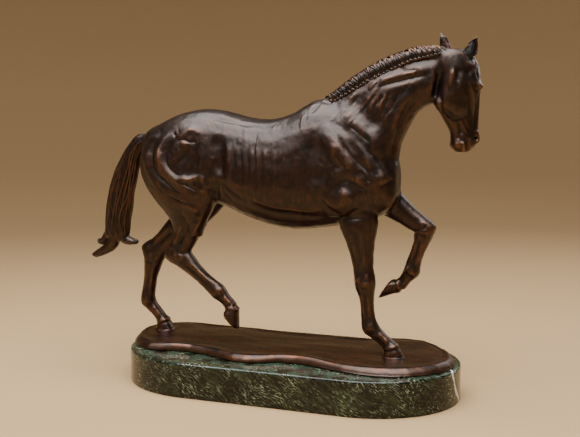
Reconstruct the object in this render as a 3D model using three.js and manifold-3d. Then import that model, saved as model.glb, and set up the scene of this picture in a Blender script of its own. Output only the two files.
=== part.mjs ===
// A walking horse cast in bronze, one casting with its irregular ground plate, on a slab of
// polished green marble with rounded ends.
// Millimetres. +Z is up, +X points to the horse's head and +Y to its left side. The origin is the
// centre of the slab's underside.
import * as THREE from "three";
import { mergeVertices } from "three/addons/utils/BufferGeometryUtils.js";
import Module from "manifold-3d";

// ---------------------------------------------------------------- driving dimensions
const PLINTH = { length: 400, width: 194, height: 39, endReach: 106, rim: 2.2, foot: 0.8 };
const REST_GAP = 0.3; // between the ground plate and the marble under it
const PLATE = { thick: 6.2, border: 14, edgeRise: 1.4, mound: 1.2 };
const SWELLS = [{ x: -178, y: 34, reach: 34, rise: 2.6 }, { x: 150, y: 46, reach: 42, rise: 2.4 }];
const GROUND = 44; // height at which the planted hooves stand on the plate
const POLL = new THREE.Vector3(182, 3, 0); // the head turns about this upright axis
const HEAD_TURN = THREE.MathUtils.degToRad(38); // to the horse's left
const LEFT = new THREE.Vector3(0, 1, 0);

const BRONZE = { color: 0x3a2a20, roughness: 0.34, metalness: 1 };
const MARBLE = { color: 0x26382c, roughness: 0.18, metalness: 0 };

const wasm = await Module();
wasm.setup();

// ---------------------------------------------------------------- solids from rings of points
const vec = (x, y, z) => new THREE.Vector3(x, y, z);

// A closed body through rings of equal length: the sides between them, and a fan on each end.
function skin(rings) {
  const count = rings[0].length;
  const points = rings.flat();
  const faces = [];
  for (let r = 0; r + 1 < rings.length; r++) {
    for (let i = 0; i < count; i++) {
      const a = r * count + i;
      const b = r * count + ((i + 1) % count);
      faces.push([a, b, b + count], [a, b + count, a + count]);
    }
  }
  for (const [ring, first] of [[rings[0], 0], [rings.at(-1), (rings.length - 1) * count]]) {
    const middle = ring.reduce((sum, p) => sum.add(p), vec(0, 0, 0)).divideScalar(count);
    const tip = points.push(middle) - 1;
    for (let i = 0; i < count; i++) {
      const a = first + i;
      const b = first + ((i + 1) % count);
      faces.push(first === 0 ? [b, a, tip] : [a, b, tip]);
    }
  }
  return closedGeometry(points, faces);
}

// Turns the faces outwards if the body came out inside out.
function closedGeometry(points, faces) {
  let volume = 0;
  for (const [a, b, c] of faces) {
    volume += points[a].dot(vec(0, 0, 0).crossVectors(points[b], points[c]));
  }
  const outward = volume > 0 ? faces : faces.map(([a, b, c]) => [a, c, b]);
  const geometry = new THREE.BufferGeometry();
  geometry.setAttribute("position", new THREE.Float32BufferAttribute(points.flatMap((p) => p.toArray()), 3));
  geometry.setIndex(outward.flat());
  return geometry;
}

// One ring of a body: `front` and `back` are the ends of its long axis, `half` its half width along
// `side`. `widest` is where between back (0) and front (1) it is widest, and `square` the exponent
// of its outline: 2 is an ellipse, more is boxier.
function ringPoints({ front, back, half, widest, square, side }, segments) {
  const waist = vec(0, 0, 0).lerpVectors(back, front, widest);
  const points = [];
  for (let i = 0; i < segments; i++) {
    const angle = (2 * Math.PI * (i + 0.5)) / segments;
    const across = Math.sign(Math.cos(angle)) * Math.abs(Math.cos(angle)) ** (2 / square);
    const along = Math.abs(Math.sin(angle)) ** (2 / square);
    const end = Math.sin(angle) > 0 ? front : back;
    points.push(vec(0, 0, 0).lerpVectors(waist, end, along).addScaledVector(side, half * across));
  }
  return points;
}

// Catmull-Rom value between the middle two of four stations.
function spline(p, q, r, s, t) {
  const slopeIn = (r - p) / 2;
  const slopeOut = (s - q) / 2;
  return (2 * t ** 3 - 3 * t ** 2 + 1) * q + (t ** 3 - 2 * t ** 2 + t) * slopeIn
    + (3 * t ** 2 - 2 * t ** 3) * r + (t ** 3 - t ** 2) * slopeOut;
}

function splinePoint(p, q, r, s, t) {
  return vec(spline(p.x, q.x, r.x, s.x, t), spline(p.y, q.y, r.y, s.y, t), spline(p.z, q.z, r.z, s.z, t));
}

// A body lofted smoothly through its stations, with `steps` rings for each stretch between two.
function loft(stations, { steps = 2, segments = 16 } = {}) {
  const full = stations.map((s) => ({ widest: 0.5, square: 2, side: LEFT, ...s }));
  const at = (k) => full[Math.min(Math.max(k, 0), full.length - 1)];
  const rings = [];
  for (let k = 0; k + 1 < full.length; k++) {
    for (let i = 0; i < steps; i++) {
      const four = [at(k - 1), at(k), at(k + 1), at(k + 2)];
      const value = (key) => spline(...four.map((s) => s[key]), i / steps);
      const point = (key) => splinePoint(...four.map((s) => s[key]), i / steps);
      rings.push({ front: point("front"), back: point("back"), half: value("half"),
        widest: value("widest"), square: value("square"), side: point("side").normalize() });
    }
  }
  rings.push(full.at(-1));
  return skin(rings.map((r) => ringPoints(r, segments)));
}

// A round tapering body along a path of [x, y, z, radius].
function strand(path, { steps = 2, segments = 7 } = {}) {
  const centres = path.map(([x, y, z]) => vec(x, y, z));
  const stations = path.map(([, , , radius], k) => {
    const before = centres[Math.max(k - 1, 0)];
    const after = centres[Math.min(k + 1, path.length - 1)];
    const along = vec(0, 0, 0).subVectors(after, before).normalize();
    const out = vec(0, 0, 0).crossVectors(along, LEFT).normalize();
    return { front: centres[k].clone().addScaledVector(out, radius),
      back: centres[k].clone().addScaledVector(out, -radius),
      half: radius, side: vec(0, 0, 0).crossVectors(out, along) };
  });
  return loft(stations, { steps, segments });
}

// A muscle that stands proud of the body: an ellipsoid, tilted in the horse's own side view.
function muscle([x, y, z], [rx, ry, rz], tiltDegrees, detail = 9) {
  const geometry = new THREE.SphereGeometry(1, detail, Math.round(detail * 0.7));
  geometry.scale(rx, ry, rz);
  geometry.rotateY(THREE.MathUtils.degToRad(tiltDegrees));
  geometry.translate(x, y, z);
  return geometry;
}

function onBothSides(make) {
  return [make(1), make(-1)];
}

// ---------------------------------------------------------------- joining
function toSolid(geometry) {
  const bare = geometry.clone();
  bare.deleteAttribute("normal");
  bare.deleteAttribute("uv");
  const merged = mergeVertices(bare, 1e-4);
  return new wasm.Manifold(new wasm.Mesh({
    numProp: 3,
    vertProperties: new Float32Array(merged.attributes.position.array),
    triVerts: new Uint32Array(merged.index.array),
  }));
}

function joined(geometries) {
  const solid = geometries.map(toSolid).reduce((whole, piece) => whole.add(piece));
  const mesh = solid.getMesh();
  const geometry = new THREE.BufferGeometry();
  geometry.setAttribute("position", new THREE.BufferAttribute(new Float32Array(mesh.vertProperties), 3));
  geometry.setIndex(new THREE.BufferAttribute(new Uint32Array(mesh.triVerts), 1));
  return geometry;
}

// ---------------------------------------------------------------- trunk, neck and head
// Stations along the trunk from the buttocks to the breast. `level` is the height where it is widest.
const TRUNK = [
  { x: -190, top: 287, bottom: 262, half: 10, level: 275 },
  { x: -180, top: 299, bottom: 240, half: 24, level: 270 },
  { x: -163, top: 307, bottom: 224, half: 34, level: 264 },
  { x: -142, top: 316, bottom: 216, half: 41, level: 262 },
  { x: -120, top: 321.5, bottom: 213, half: 43, level: 264 },
  { x: -98, top: 323.5, bottom: 213, half: 41, level: 260 },
  { x: -75, top: 320, bottom: 206.5, half: 38.5, level: 250 },
  { x: -50, top: 313.5, bottom: 196, half: 42, level: 246 },
  { x: -20, top: 311, bottom: 187.5, half: 45.5, level: 243 },
  { x: 8, top: 318.5, bottom: 184, half: 45, level: 242 },
  { x: 34, top: 333, bottom: 186, half: 42.5, level: 243 },
  { x: 60, top: 330, bottom: 190, half: 41, level: 245 },
  { x: 84, top: 315, bottom: 193, half: 38, level: 244 },
  { x: 104, top: 296, bottom: 199, half: 34, level: 243 },
  { x: 119, top: 280, bottom: 209, half: 26, level: 242 },
  { x: 129, top: 262, bottom: 226, half: 13, level: 243 },
];

// Stations up the neck: each runs from the crest to the underline.
const NECK = [
  { crest: [36, 328], under: [112, 210], half: 35 },
  { crest: [52, 333], under: [125, 240], half: 31 },
  { crest: [70, 345], under: [128, 262], half: 27 },
  { crest: [90, 359], under: [131, 282], half: 24 },
  { crest: [112, 372], under: [139, 300], half: 21.5 },
  { crest: [134, 379], under: [149, 317], half: 20 },
  { crest: [155, 383], under: [161, 325], half: 18 },
  { crest: [176, 383.5], under: [167, 327], half: 15 },
];
const NECK_BEND = 4; // how far the poll lies to the left of the withers

// Stations down the head, in its own frame before it turns: `brow` and `jaw` are the reaches in
// front of and behind the poll axis, with `drop` the height by which the jaw lies lower.
const HEAD = [
  { z: 385, brow: 16, jaw: -6, half: 7 },
  { z: 380, brow: 25, jaw: -13, half: 12 },
  { z: 370, brow: 33, jaw: -15, half: 15.5 },
  { z: 357, brow: 35.5, jaw: -14, half: 18 },
  { z: 344, brow: 36.5, jaw: -14, half: 19, drop: 2 },
  { z: 331, brow: 35.3, jaw: -17, half: 16.5, drop: 4 },
  { z: 319, brow: 35.3, jaw: -10, half: 13, drop: 3 },
  { z: 307, brow: 35.5, jaw: -2.5, half: 10.5, drop: 2 },
  { z: 296, brow: 35.8, jaw: 3, half: 10 },
  { z: 288, brow: 35.8, jaw: 4, half: 11 },
  { z: 280, brow: 31, jaw: 4, half: 10 },
  { z: 274, brow: 23.5, jaw: 10.5, half: 6.5 },
];

function trunk() {
  const stations = TRUNK.map(({ x, top, bottom, half, level }) => ({
    front: vec(x, 0, top), back: vec(x, 0, bottom), half,
    widest: (level - bottom) / (top - bottom), square: 2.15,
  }));
  return loft(stations, { steps: 2, segments: 24 });
}

function neck() {
  const stations = NECK.map(({ crest, under, half }, k) => {
    const y = NECK_BEND * (k / (NECK.length - 1)) ** 2;
    return { front: vec(crest[0], y, crest[1]), back: vec(under[0], y, under[1]), half, widest: 0.42 };
  });
  return loft(stations, { steps: 2, segments: 18 });
}

// From the head's own frame to the horse's: `ahead` of the poll axis, `left` of it, at a height.
function headPoint(ahead, left, z) {
  const forward = vec(Math.cos(HEAD_TURN), Math.sin(HEAD_TURN), 0);
  const sideways = vec(-Math.sin(HEAD_TURN), Math.cos(HEAD_TURN), 0);
  return vec(POLL.x, POLL.y, z).addScaledVector(forward, ahead).addScaledVector(sideways, left);
}

function head() {
  const side = headPoint(0, 1, 0).sub(headPoint(0, 0, 0));
  const stations = HEAD.map(({ z, brow, jaw, half, drop = 0 }) => ({
    front: headPoint(brow, 0, z), back: headPoint(jaw, 0, z - drop), half, side, square: 2.3,
  }));
  return loft(stations, { steps: 2, segments: 16 });
}

// The two jowls, the brows over the eyes and the rims of the nostrils.
function headFeatures(side) {
  const jowl = new THREE.SphereGeometry(1, 11, 7).scale(15, 6, 17);
  const brow = new THREE.SphereGeometry(1, 7, 5).scale(6.5, 4.5, 5);
  const nostril = new THREE.SphereGeometry(1, 7, 5).scale(4.5, 3.5, 6);
  const places = [[jowl, 6, 10.5, 329], [brow, 28, 14.5, 345], [nostril, 30, 7.5, 289]];
  return places.map(([geometry, ahead, left, z]) => {
    const p = headPoint(ahead, left * side, z);
    return geometry.rotateZ(HEAD_TURN).translate(p.x, p.y, p.z);
  });
}

// An upright leaf-shaped ear from its foot to its tip, `cup` its half width.
function ear(foot, tip, cup) {
  const across = vec(0, 0, 0).subVectors(tip, foot).cross(LEFT).normalize();
  const stations = [[-0.25, 0.75], [0.05, 0.85], [0.38, 1], [0.7, 0.62], [1, 0.08]].map(([t, width]) => {
    const centre = vec(0, 0, 0).lerpVectors(foot, tip, t);
    return { front: centre.clone().addScaledVector(across, cup * width),
      back: centre.clone().addScaledVector(across, -cup * width), half: 0.55 * cup * width };
  });
  return loft(stations, { steps: 1, segments: 10 });
}

const EARS = [
  { foot: headPoint(15.5, -9, 371), tip: headPoint(27.5, -11, 398), cup: 8.5 }, // right, pricked forward
  { foot: headPoint(4, 9, 376), tip: headPoint(-4.5, 13, 404), cup: 6 }, // left, turned back
];

// The plaited mane, a thick roll on the right of the crest. `lie` is how far right of the crest.
const MANE = [
  { x: 44, z: 330, half: 3, thick: 4 },
  { x: 58, z: 335, half: 6, thick: 7 },
  { x: 78, z: 347.5, half: 8, thick: 9 },
  { x: 100, z: 360, half: 9, thick: 10 },
  { x: 122, z: 369.7, half: 9, thick: 10 },
  { x: 145, z: 378, half: 8, thick: 9 },
  { x: 165, z: 380.5, half: 6.5, thick: 8 },
  { x: 181, z: 381.5, half: 3.5, thick: 4 },
];
const MANE_LIE = 6;

function mane() {
  const stations = MANE.map(({ x, z, half, thick }, k) => {
    const before = MANE[Math.max(k - 1, 0)];
    const after = MANE[Math.min(k + 1, MANE.length - 1)];
    const along = vec(after.x - before.x, 0, after.z - before.z).normalize();
    const out = vec(0, 0, 0).crossVectors(along, LEFT);
    const y = NECK_BEND * Math.max(0, (x - 36) / (POLL.x - 36)) ** 2 - MANE_LIE;
    const centre = vec(x, y, z);
    return { front: centre.clone().addScaledVector(out, half),
      back: centre.clone().addScaledVector(out, -half), half: thick };
  });
  return loft(stations, { steps: 2, segments: 10 });
}

// ---------------------------------------------------------------- muscles of the body
function bodyMuscles(side) {
  return [
    muscle([70, 22 * side, 270], [24, 19.5, 50], -38), // shoulder blade, withers to point
    muscle([66, 25 * side, 225], [31, 17, 25], 8), // triceps and upper arm
    muscle([107, 18 * side, 243], [17, 14, 17], 0), // point of the shoulder
    muscle([113, 12 * side, 227], [16, 12, 19], -20), // breast
  ];
}

// ---------------------------------------------------------------- legs
// The thigh of each hind leg, station by station downwards: reach in front and behind at height z.
const THIGH = [
  { z: 292, ahead: -96, behind: -170, half: 16, y: 20 },
  { z: 268, ahead: -86, behind: -184, half: 23, y: 20 },
  { z: 243, ahead: -81, behind: -181, half: 23, y: 21 },
  { z: 222, ahead: -82, behind: -170, half: 21, y: 21 },
  { z: 204, ahead: -90, behind: -156, half: 16, y: 19 },
  { z: 188, ahead: -99, behind: -144, half: 11.5, y: 18 },
  { z: 172, ahead: -105, behind: -141, half: 9, y: 17 },
];

// The planted left leg swings back: how far its thigh does at the foot of the thigh, and how late
// that comes on in front and behind.
const SWING = { reach: 26, late: 4.5, rearReach: 18, rearLate: 1.3 };

function thigh(side) {
  const swinging = side > 0 ? 1 : 0;
  const [hip, end] = [THIGH[1].z, THIGH.at(-1).z];
  const stations = THIGH.map(({ z, ahead, behind, half, y }) => {
    const down = swinging * Math.max(0, (hip - z) / (hip - end));
    return { front: vec(ahead - SWING.reach * down ** SWING.late, y * side, z),
      back: vec(behind - SWING.rearReach * down ** SWING.rearLate, y * side, z), half, square: 2.1 };
  });
  return loft(stations, { steps: 2, segments: 16 });
}

// Rows of a leg's shape: [bone, part of its length, reach in front, reach behind, half width].
const FORE_LEG = [
  [0, -0.12, 21, 26, 14],
  [0, 0.12, 22, 23, 14],
  [0, 0.38, 16.4, 17, 12],
  [0, 0.66, 12.6, 13, 10],
  [0, 0.86, 11.4, 12, 9.8],
  [1, 0, 12.6, 12.2, 11],
  [1, 0.14, 11.2, 12, 10],
  [1, 0.32, 8.9, 9, 7.6],
  [1, 0.55, 7.2, 8.6, 6.5],
  [1, 0.8, 7.4, 9.5, 7],
  [2, 0, 9.8, 9.8, 8.8],
  [2, 0.45, 7, 7, 7],
  [2, 1, 7, 6.6, 7.6],
];
const HIND_LEG = [
  [0, 0.3, 16, 20, 13],
  [0, 0.5, 14, 19, 11.5],
  [0, 0.7, 13.5, 16.5, 10],
  [0, 0.87, 13, 16, 9.4],
  [1, 0, 15.5, 20, 10.4],
  [1, 0.15, 12.5, 13, 10],
  [1, 0.33, 10, 10.8, 8.6],
  [1, 0.52, 8, 9.6, 7.2],
  [1, 0.76, 8, 9.2, 7],
  [2, 0, 9.8, 10, 8.8],
  [2, 0.45, 7, 7, 7],
  [2, 1, 7, 6.6, 7.6],
];
const JOINT_BLEND = 14; // millimetres from a joint over which a leg's rings turn

// Joints from the top down, then the toe and heel of the hoof's sole. `y` is the leg's place.
const LEGS = [
  { rows: FORE_LEG, y: -16, joints: [[87.6, 201.7], [95.5, 131], [102.4, 78.5], [126.5, 58]],
    toe: [145, GROUND], heel: [116, GROUND] },
  { rows: FORE_LEG, y: 16, joints: [[97, 230.4], [156.5, 188.2], [141.5, 140], [127.5, 121.5]],
    toe: [103.5, 105.5], heel: [119, 128.5] },
  { rows: HIND_LEG, y: -16, joints: [[-102, 214], [-136.5, 150], [-84, 107], [-65.5, 89]],
    toe: [-58, 64], heel: [-76, 83] },
  { rows: HIND_LEG, y: 16, joints: [[-120, 204], [-187.5, 144], [-197.5, 84], [-176, 59.5]],
    toe: [-157, GROUND], heel: [-187, GROUND] },
];

function leg({ rows, y, joints }) {
  const points = joints.map(([x, z]) => vec(x, y, z));
  const bones = points.slice(1).map((p, k) => vec(0, 0, 0).subVectors(p, points[k]));
  const courses = bones.map((b) => b.clone().normalize());
  const stations = rows.map(([bone, t, ahead, behind, half]) => {
    const length = bones[bone].length();
    const centre = points[bone].clone().addScaledVector(courses[bone], t * length);
    const nearStart = t < 0.5;
    const neighbour = courses[nearStart ? bone - 1 : bone + 1] ?? courses[bone];
    const reach = Math.max(0, (nearStart ? t : 1 - t) * length);
    const share = 0.5 * Math.max(0, 1 - reach / JOINT_BLEND);
    const course = courses[bone].clone().lerp(neighbour, share).normalize();
    const forward = vec(0, 0, 0).crossVectors(course, LEFT);
    return { front: centre.clone().addScaledVector(forward, ahead),
      back: centre.clone().addScaledVector(forward, -behind), half, square: 2.2 };
  });
  return loft(stations, { steps: 2, segments: 11 });
}

// A hoof: the coronet, sloping down to the heel, and the flared wall down to the sole.
const HOOF = { coronet: 8.4, half: 12.2, slope: 3.2, sink: 1 };

function hoof({ y, joints, toe, heel }) {
  const coronet = vec(joints[3][0], y, joints[3][1]);
  const toeEnd = vec(toe[0], y, toe[1]);
  const heelEnd = vec(heel[0], y, heel[1]);
  const forward = vec(0, 0, 0).subVectors(toeEnd, heelEnd).normalize();
  const up = vec(0, 0, 0).crossVectors(LEFT, forward).multiplyScalar(-1);
  const level = (height, reach, half) => ({
    front: coronet.clone().addScaledVector(forward, reach).addScaledVector(up, height + HOOF.slope / 2),
    back: coronet.clone().addScaledVector(forward, -reach).addScaledVector(up, height - HOOF.slope),
    half, square: 2.3,
  });
  const sole = { front: toeEnd.addScaledVector(up, -HOOF.sink), back: heelEnd.addScaledVector(up, -HOOF.sink),
    half: HOOF.half, widest: 0.45, square: 2.4 };
  return loft([level(3.5, HOOF.coronet * 0.82, 7.6), level(0, HOOF.coronet, 9), sole],
    { steps: 1, segments: 12 });
}

// ---------------------------------------------------------------- tail
// Stations down the tail: centre, half width fore and aft, half thickness across.
const TAIL = [
  { x: -181, z: 287, ahead: 7, half: 7 },
  { x: -194, z: 284.5, ahead: 9.5, half: 8 },
  { x: -207, z: 267, ahead: 11, half: 9 },
  { x: -215.5, z: 246, ahead: 14.5, half: 10.5 },
  { x: -223, z: 223, ahead: 16, half: 11.5 },
  { x: -227, z: 203, ahead: 17, half: 12 },
  { x: -229.5, z: 185, ahead: 16.5, half: 12 },
  { x: -231, z: 169, ahead: 17, half: 10.5 },
  { x: -230, z: 159, ahead: 12, half: 7 },
];
const TAIL_TIPS = [
  [[-236, 2, 186, 8], [-243, 2, 170, 7], [-251, 2, 159, 5.5], [-258, 2, 158, 3.5], [-261, 2, 161, 1]],
  [[-229, -2, 176, 9], [-236, -2, 157, 8], [-249, -2, 147, 6.5], [-261, -2, 141.5, 4], [-268, -2, 141, 1]],
  [[-222, 0, 180, 8], [-222, 0, 165, 7.5], [-214, 0, 160.5, 5.5], [-206, 0, 159.5, 3.5], [-200, 0, 161, 1]],
];

function tail() {
  const stations = TAIL.map(({ x, z, ahead, half }, k) => {
    const before = TAIL[Math.max(k - 1, 0)];
    const after = TAIL[Math.min(k + 1, TAIL.length - 1)];
    const along = vec(after.x - before.x, 0, after.z - before.z).normalize();
    const out = vec(0, 0, 0).crossVectors(along, LEFT);
    return { front: vec(x, 0, z).addScaledVector(out, ahead), back: vec(x, 0, z).addScaledVector(out, -ahead), half };
  });
  return loft(stations, { steps: 2, segments: 12 });
}

// ---------------------------------------------------------------- ground plate and plinth
// The uneven edge of the poured plate, counterclockwise seen from above.
const PLATE_EDGE = [
  [-197, -20], [-184, -38], [-162, -54], [-137, -53], [-110, -49], [-75, -58], [-45, -70],
  [-20, -71], [8, -56], [38, -57], [67, -65], [98, -73], [124, -74], [150, -68], [174, -51],
  [191, -26], [195, 0], [186, 26], [168, 55], [138, 80], [108, 78], [70, 60], [30, 65],
  [-10, 62], [-50, 64], [-100, 73], [-145, 74], [-176, 66], [-203, 46], [-206, 14],
];

function groundPlate() {
  const curve = new THREE.CatmullRomCurve3(PLATE_EDGE.map(([x, y]) => vec(x, y, 0)), true);
  const outline = curve.getPoints(PLATE_EDGE.length * 1.5).slice(0, -1);
  const reach = vec(0, 0, 0);
  for (const p of outline) {
    reach.x = Math.max(reach.x, Math.abs(p.x));
    reach.y = Math.max(reach.y, Math.abs(p.y));
  }
  const bottom = PLINTH.height + REST_GAP;
  const level = (inset, height) => outline.map((p) => {
    const [x, y] = [p.x * (1 - inset / reach.x), p.y * (1 - inset / reach.y)];
    const share = height / PLATE.thick;
    const swell = SWELLS.reduce((sum, s) =>
      sum + s.rise * Math.exp(-(((x - s.x) ** 2 + (y - s.y) ** 2) / s.reach ** 2)), 0);
    return vec(x, y, bottom + height + share * swell);
  });
  return skin([
    level(0, 0),
    level(0, PLATE.edgeRise),
    level(PLATE.border * 0.55, PLATE.thick * 0.72),
    level(PLATE.border, PLATE.thick),
    level(PLATE.border * 2.4, PLATE.thick + PLATE.mound * 0.7),
    level(PLATE.border * 3.8, PLATE.thick + PLATE.mound),
  ]);
}

// The slab's plan: straight long sides between two half ellipses.
function plinthOutline(inset, z) {
  const reach = PLINTH.endReach - inset;
  const halfWidth = PLINTH.width / 2 - inset;
  const straight = PLINTH.length / 2 - PLINTH.endReach;
  const arcSteps = 16;
  const points = [];
  for (const [end, start] of [[1, -Math.PI / 2], [-1, Math.PI / 2]]) {
    for (let i = 0; i <= arcSteps; i++) {
      const angle = start + (Math.PI * i) / arcSteps;
      points.push(vec(end * straight + reach * Math.cos(angle), halfWidth * Math.sin(angle), z));
    }
  }
  return points;
}

function plinth() {
  return skin([
    plinthOutline(PLINTH.foot, 0),
    plinthOutline(0, PLINTH.foot),
    plinthOutline(0, PLINTH.height - PLINTH.rim),
    plinthOutline(PLINTH.rim * 0.35, PLINTH.height - PLINTH.rim * 0.35),
    plinthOutline(PLINTH.rim, PLINTH.height),
  ]);
}

// ---------------------------------------------------------------- the object
const casting = joined([
  trunk(),
  neck(),
  head(),
  ...onBothSides(headFeatures).flat(),
  ...EARS.map(({ foot, tip, cup }) => ear(foot, tip, cup)),
  mane(),
  ...onBothSides(bodyMuscles).flat(),
  ...onBothSides(thigh),
  ...LEGS.map(leg),
  ...LEGS.map(hoof),
  tail(),
  ...TAIL_TIPS.map((path) => strand(path)),
  groundPlate(),
]);

function named(name, geometry, look) {
  const mesh = new THREE.Mesh(geometry, new THREE.MeshStandardMaterial(look));
  mesh.name = name;
  return mesh;
}

const group = new THREE.Group();
group.add(named("marble_plinth", plinth(), MARBLE));
group.add(named("bronze_horse", casting, BRONZE));

export default group;
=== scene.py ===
"""A bronze horse at a collected walk, cast in one with its thin ground plate, on a polished
green marble plinth with rounded ends."""

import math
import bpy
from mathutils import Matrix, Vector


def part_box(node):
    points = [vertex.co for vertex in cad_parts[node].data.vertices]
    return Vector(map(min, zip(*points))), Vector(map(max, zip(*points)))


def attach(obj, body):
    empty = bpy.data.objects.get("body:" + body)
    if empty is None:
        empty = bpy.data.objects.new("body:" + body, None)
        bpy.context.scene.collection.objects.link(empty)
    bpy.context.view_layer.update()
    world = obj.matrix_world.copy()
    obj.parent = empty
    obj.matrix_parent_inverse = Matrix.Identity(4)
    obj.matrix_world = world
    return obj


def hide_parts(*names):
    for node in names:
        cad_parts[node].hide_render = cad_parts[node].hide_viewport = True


bl_info = {
    "name": "Walking horse in bronze",
    "version": (1, 0, 0),
    "blender": (4, 5, 0),
    "location": "3D View > Sidebar > Bronze horse",
    "description": "A patinated bronze horse with a plaited mane on a marble plinth",
    "category": "Add Mesh",
}

import bpy
import numpy as np
from mathutils import Vector
from mathutils.bvhtree import BVHTree

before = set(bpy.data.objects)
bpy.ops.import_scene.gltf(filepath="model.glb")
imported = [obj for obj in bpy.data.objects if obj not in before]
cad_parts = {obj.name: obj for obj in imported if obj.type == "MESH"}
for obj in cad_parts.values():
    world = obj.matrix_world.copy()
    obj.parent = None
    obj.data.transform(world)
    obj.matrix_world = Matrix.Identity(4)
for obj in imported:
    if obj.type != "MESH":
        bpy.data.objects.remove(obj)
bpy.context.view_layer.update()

MM = 0.001
RIGHT, LEFT = -1, 1  # the horse looks along +X, so its right side is towards -Y
LEFTWARDS = np.array([0.0, 1.0, 0.0])
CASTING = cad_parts["bronze_horse"]
PLATE_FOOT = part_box("bronze_horse")[0].z / MM
PLINTH_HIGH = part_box("marble_plinth")[1]

# ---------------------------------------------------------------- the horse's own measures, in mm
BESIDE_BODY, BESIDE_LEG, BESIDE_HEAD = 130, 70, 45  # clear of each, from its middle
POLL = (182.0, 3.0)  # the head turns about this upright line
HEAD_TURN = math.radians(38)  # to the horse's left
AHEAD = np.array([math.cos(HEAD_TURN), math.sin(HEAD_TURN), 0.0])
SIDEWAYS = np.array([-math.sin(HEAD_TURN), math.cos(HEAD_TURN), 0.0])  # to the head's left

# Of each leg: its distance to the left, then in side view its elbow or stifle, knee or hock,
# fetlock and coronet, its toe, and its heel.
LEGS = {
    "right fore": (-16, [(87.6, 201.7), (95.5, 131), (102.4, 78.5), (126.5, 58)], (145, 44), (116, 44)),
    "left fore": (16, [(97, 230.4), (156.5, 188.2), (141.5, 140), (127.5, 121.5)], (103.5, 105.5),
                  (119, 128.5)),
    "right hind": (-16, [(-102, 214), (-136.5, 150), (-84, 107), (-65.5, 89)], (-58, 64), (-76, 83)),
    "left hind": (16, [(-120, 204), (-187.5, 144), (-197.5, 84), (-176, 59.5)], (-157, 44), (-187, 44)),
}

# Foot, tip, half width and the way each ear's hollow faces: (ahead, left).
EARS = [
    ((15.5, -9, 371), (27.5, -11, 398), 8.5, (0.45, -0.9)),
    ((4, 9, 376), (-4.5, 13, 404), 6.0, (-0.1, 1.0)),
]
EAR_DEPTH = 4.4  # of the hollow

# The ground plate, above its foot: where its border's slope starts, how high the slope is, and
# where its top gives way to the hooves. Then the heights where the plate ends and a leg begins.
PLATE_LIP, PLATE_SLOPE, PLATE_TOP = 1.4, 5.2, (9.2, 7.8)
PLATE_TO_HORSE = (50, 58)

# The plaited mane, a roll along the crest: x, z of its middle, half width and half height.
MANE = [
    (44, 330, 3, 4), (58, 335, 6, 7), (78, 347.5, 8, 9), (100, 360, 9, 10), (122, 369.7, 9, 10),
    (145, 378, 8, 9), (165, 380.5, 6.5, 8), (181, 381.5, 3.5, 4),
]
# The tail: x, z of its middle, half depth in side view and half width.
TAIL = [
    (-181, 287, 7, 7), (-194, 284.5, 9.5, 8), (-207, 267, 11, 9), (-215.5, 246, 14.5, 10.5),
    (-223, 223, 16, 11.5), (-227, 203, 17, 12), (-229.5, 185, 16.5, 12), (-231, 169, 17, 10.5),
    (-230, 159, 12, 7),
]

# The three curled ends of the tail: x, y, z and thickness along each.
TAIL_TIPS = [
    [(-236, 2, 186, 8), (-243, 2, 170, 7), (-251, 2, 159, 5.5), (-258, 2, 158, 3.5),
     (-260, 2, 160, 1.5)],
    [(-229, -2, 176, 9), (-236, -2, 157, 8), (-249, -2, 147, 6.5), (-261, -2, 141.5, 4),
     (-266, -2, 141, 1.5)],
    [(-222, 0, 180, 8), (-222, 0, 165, 7.5), (-214, 0, 160.5, 5.5), (-206, 0, 159.5, 3.5),
     (-201.5, 0, 160.5, 1.5)],
]
TIP_STRANDS = 7  # strands of hair round each of them

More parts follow.
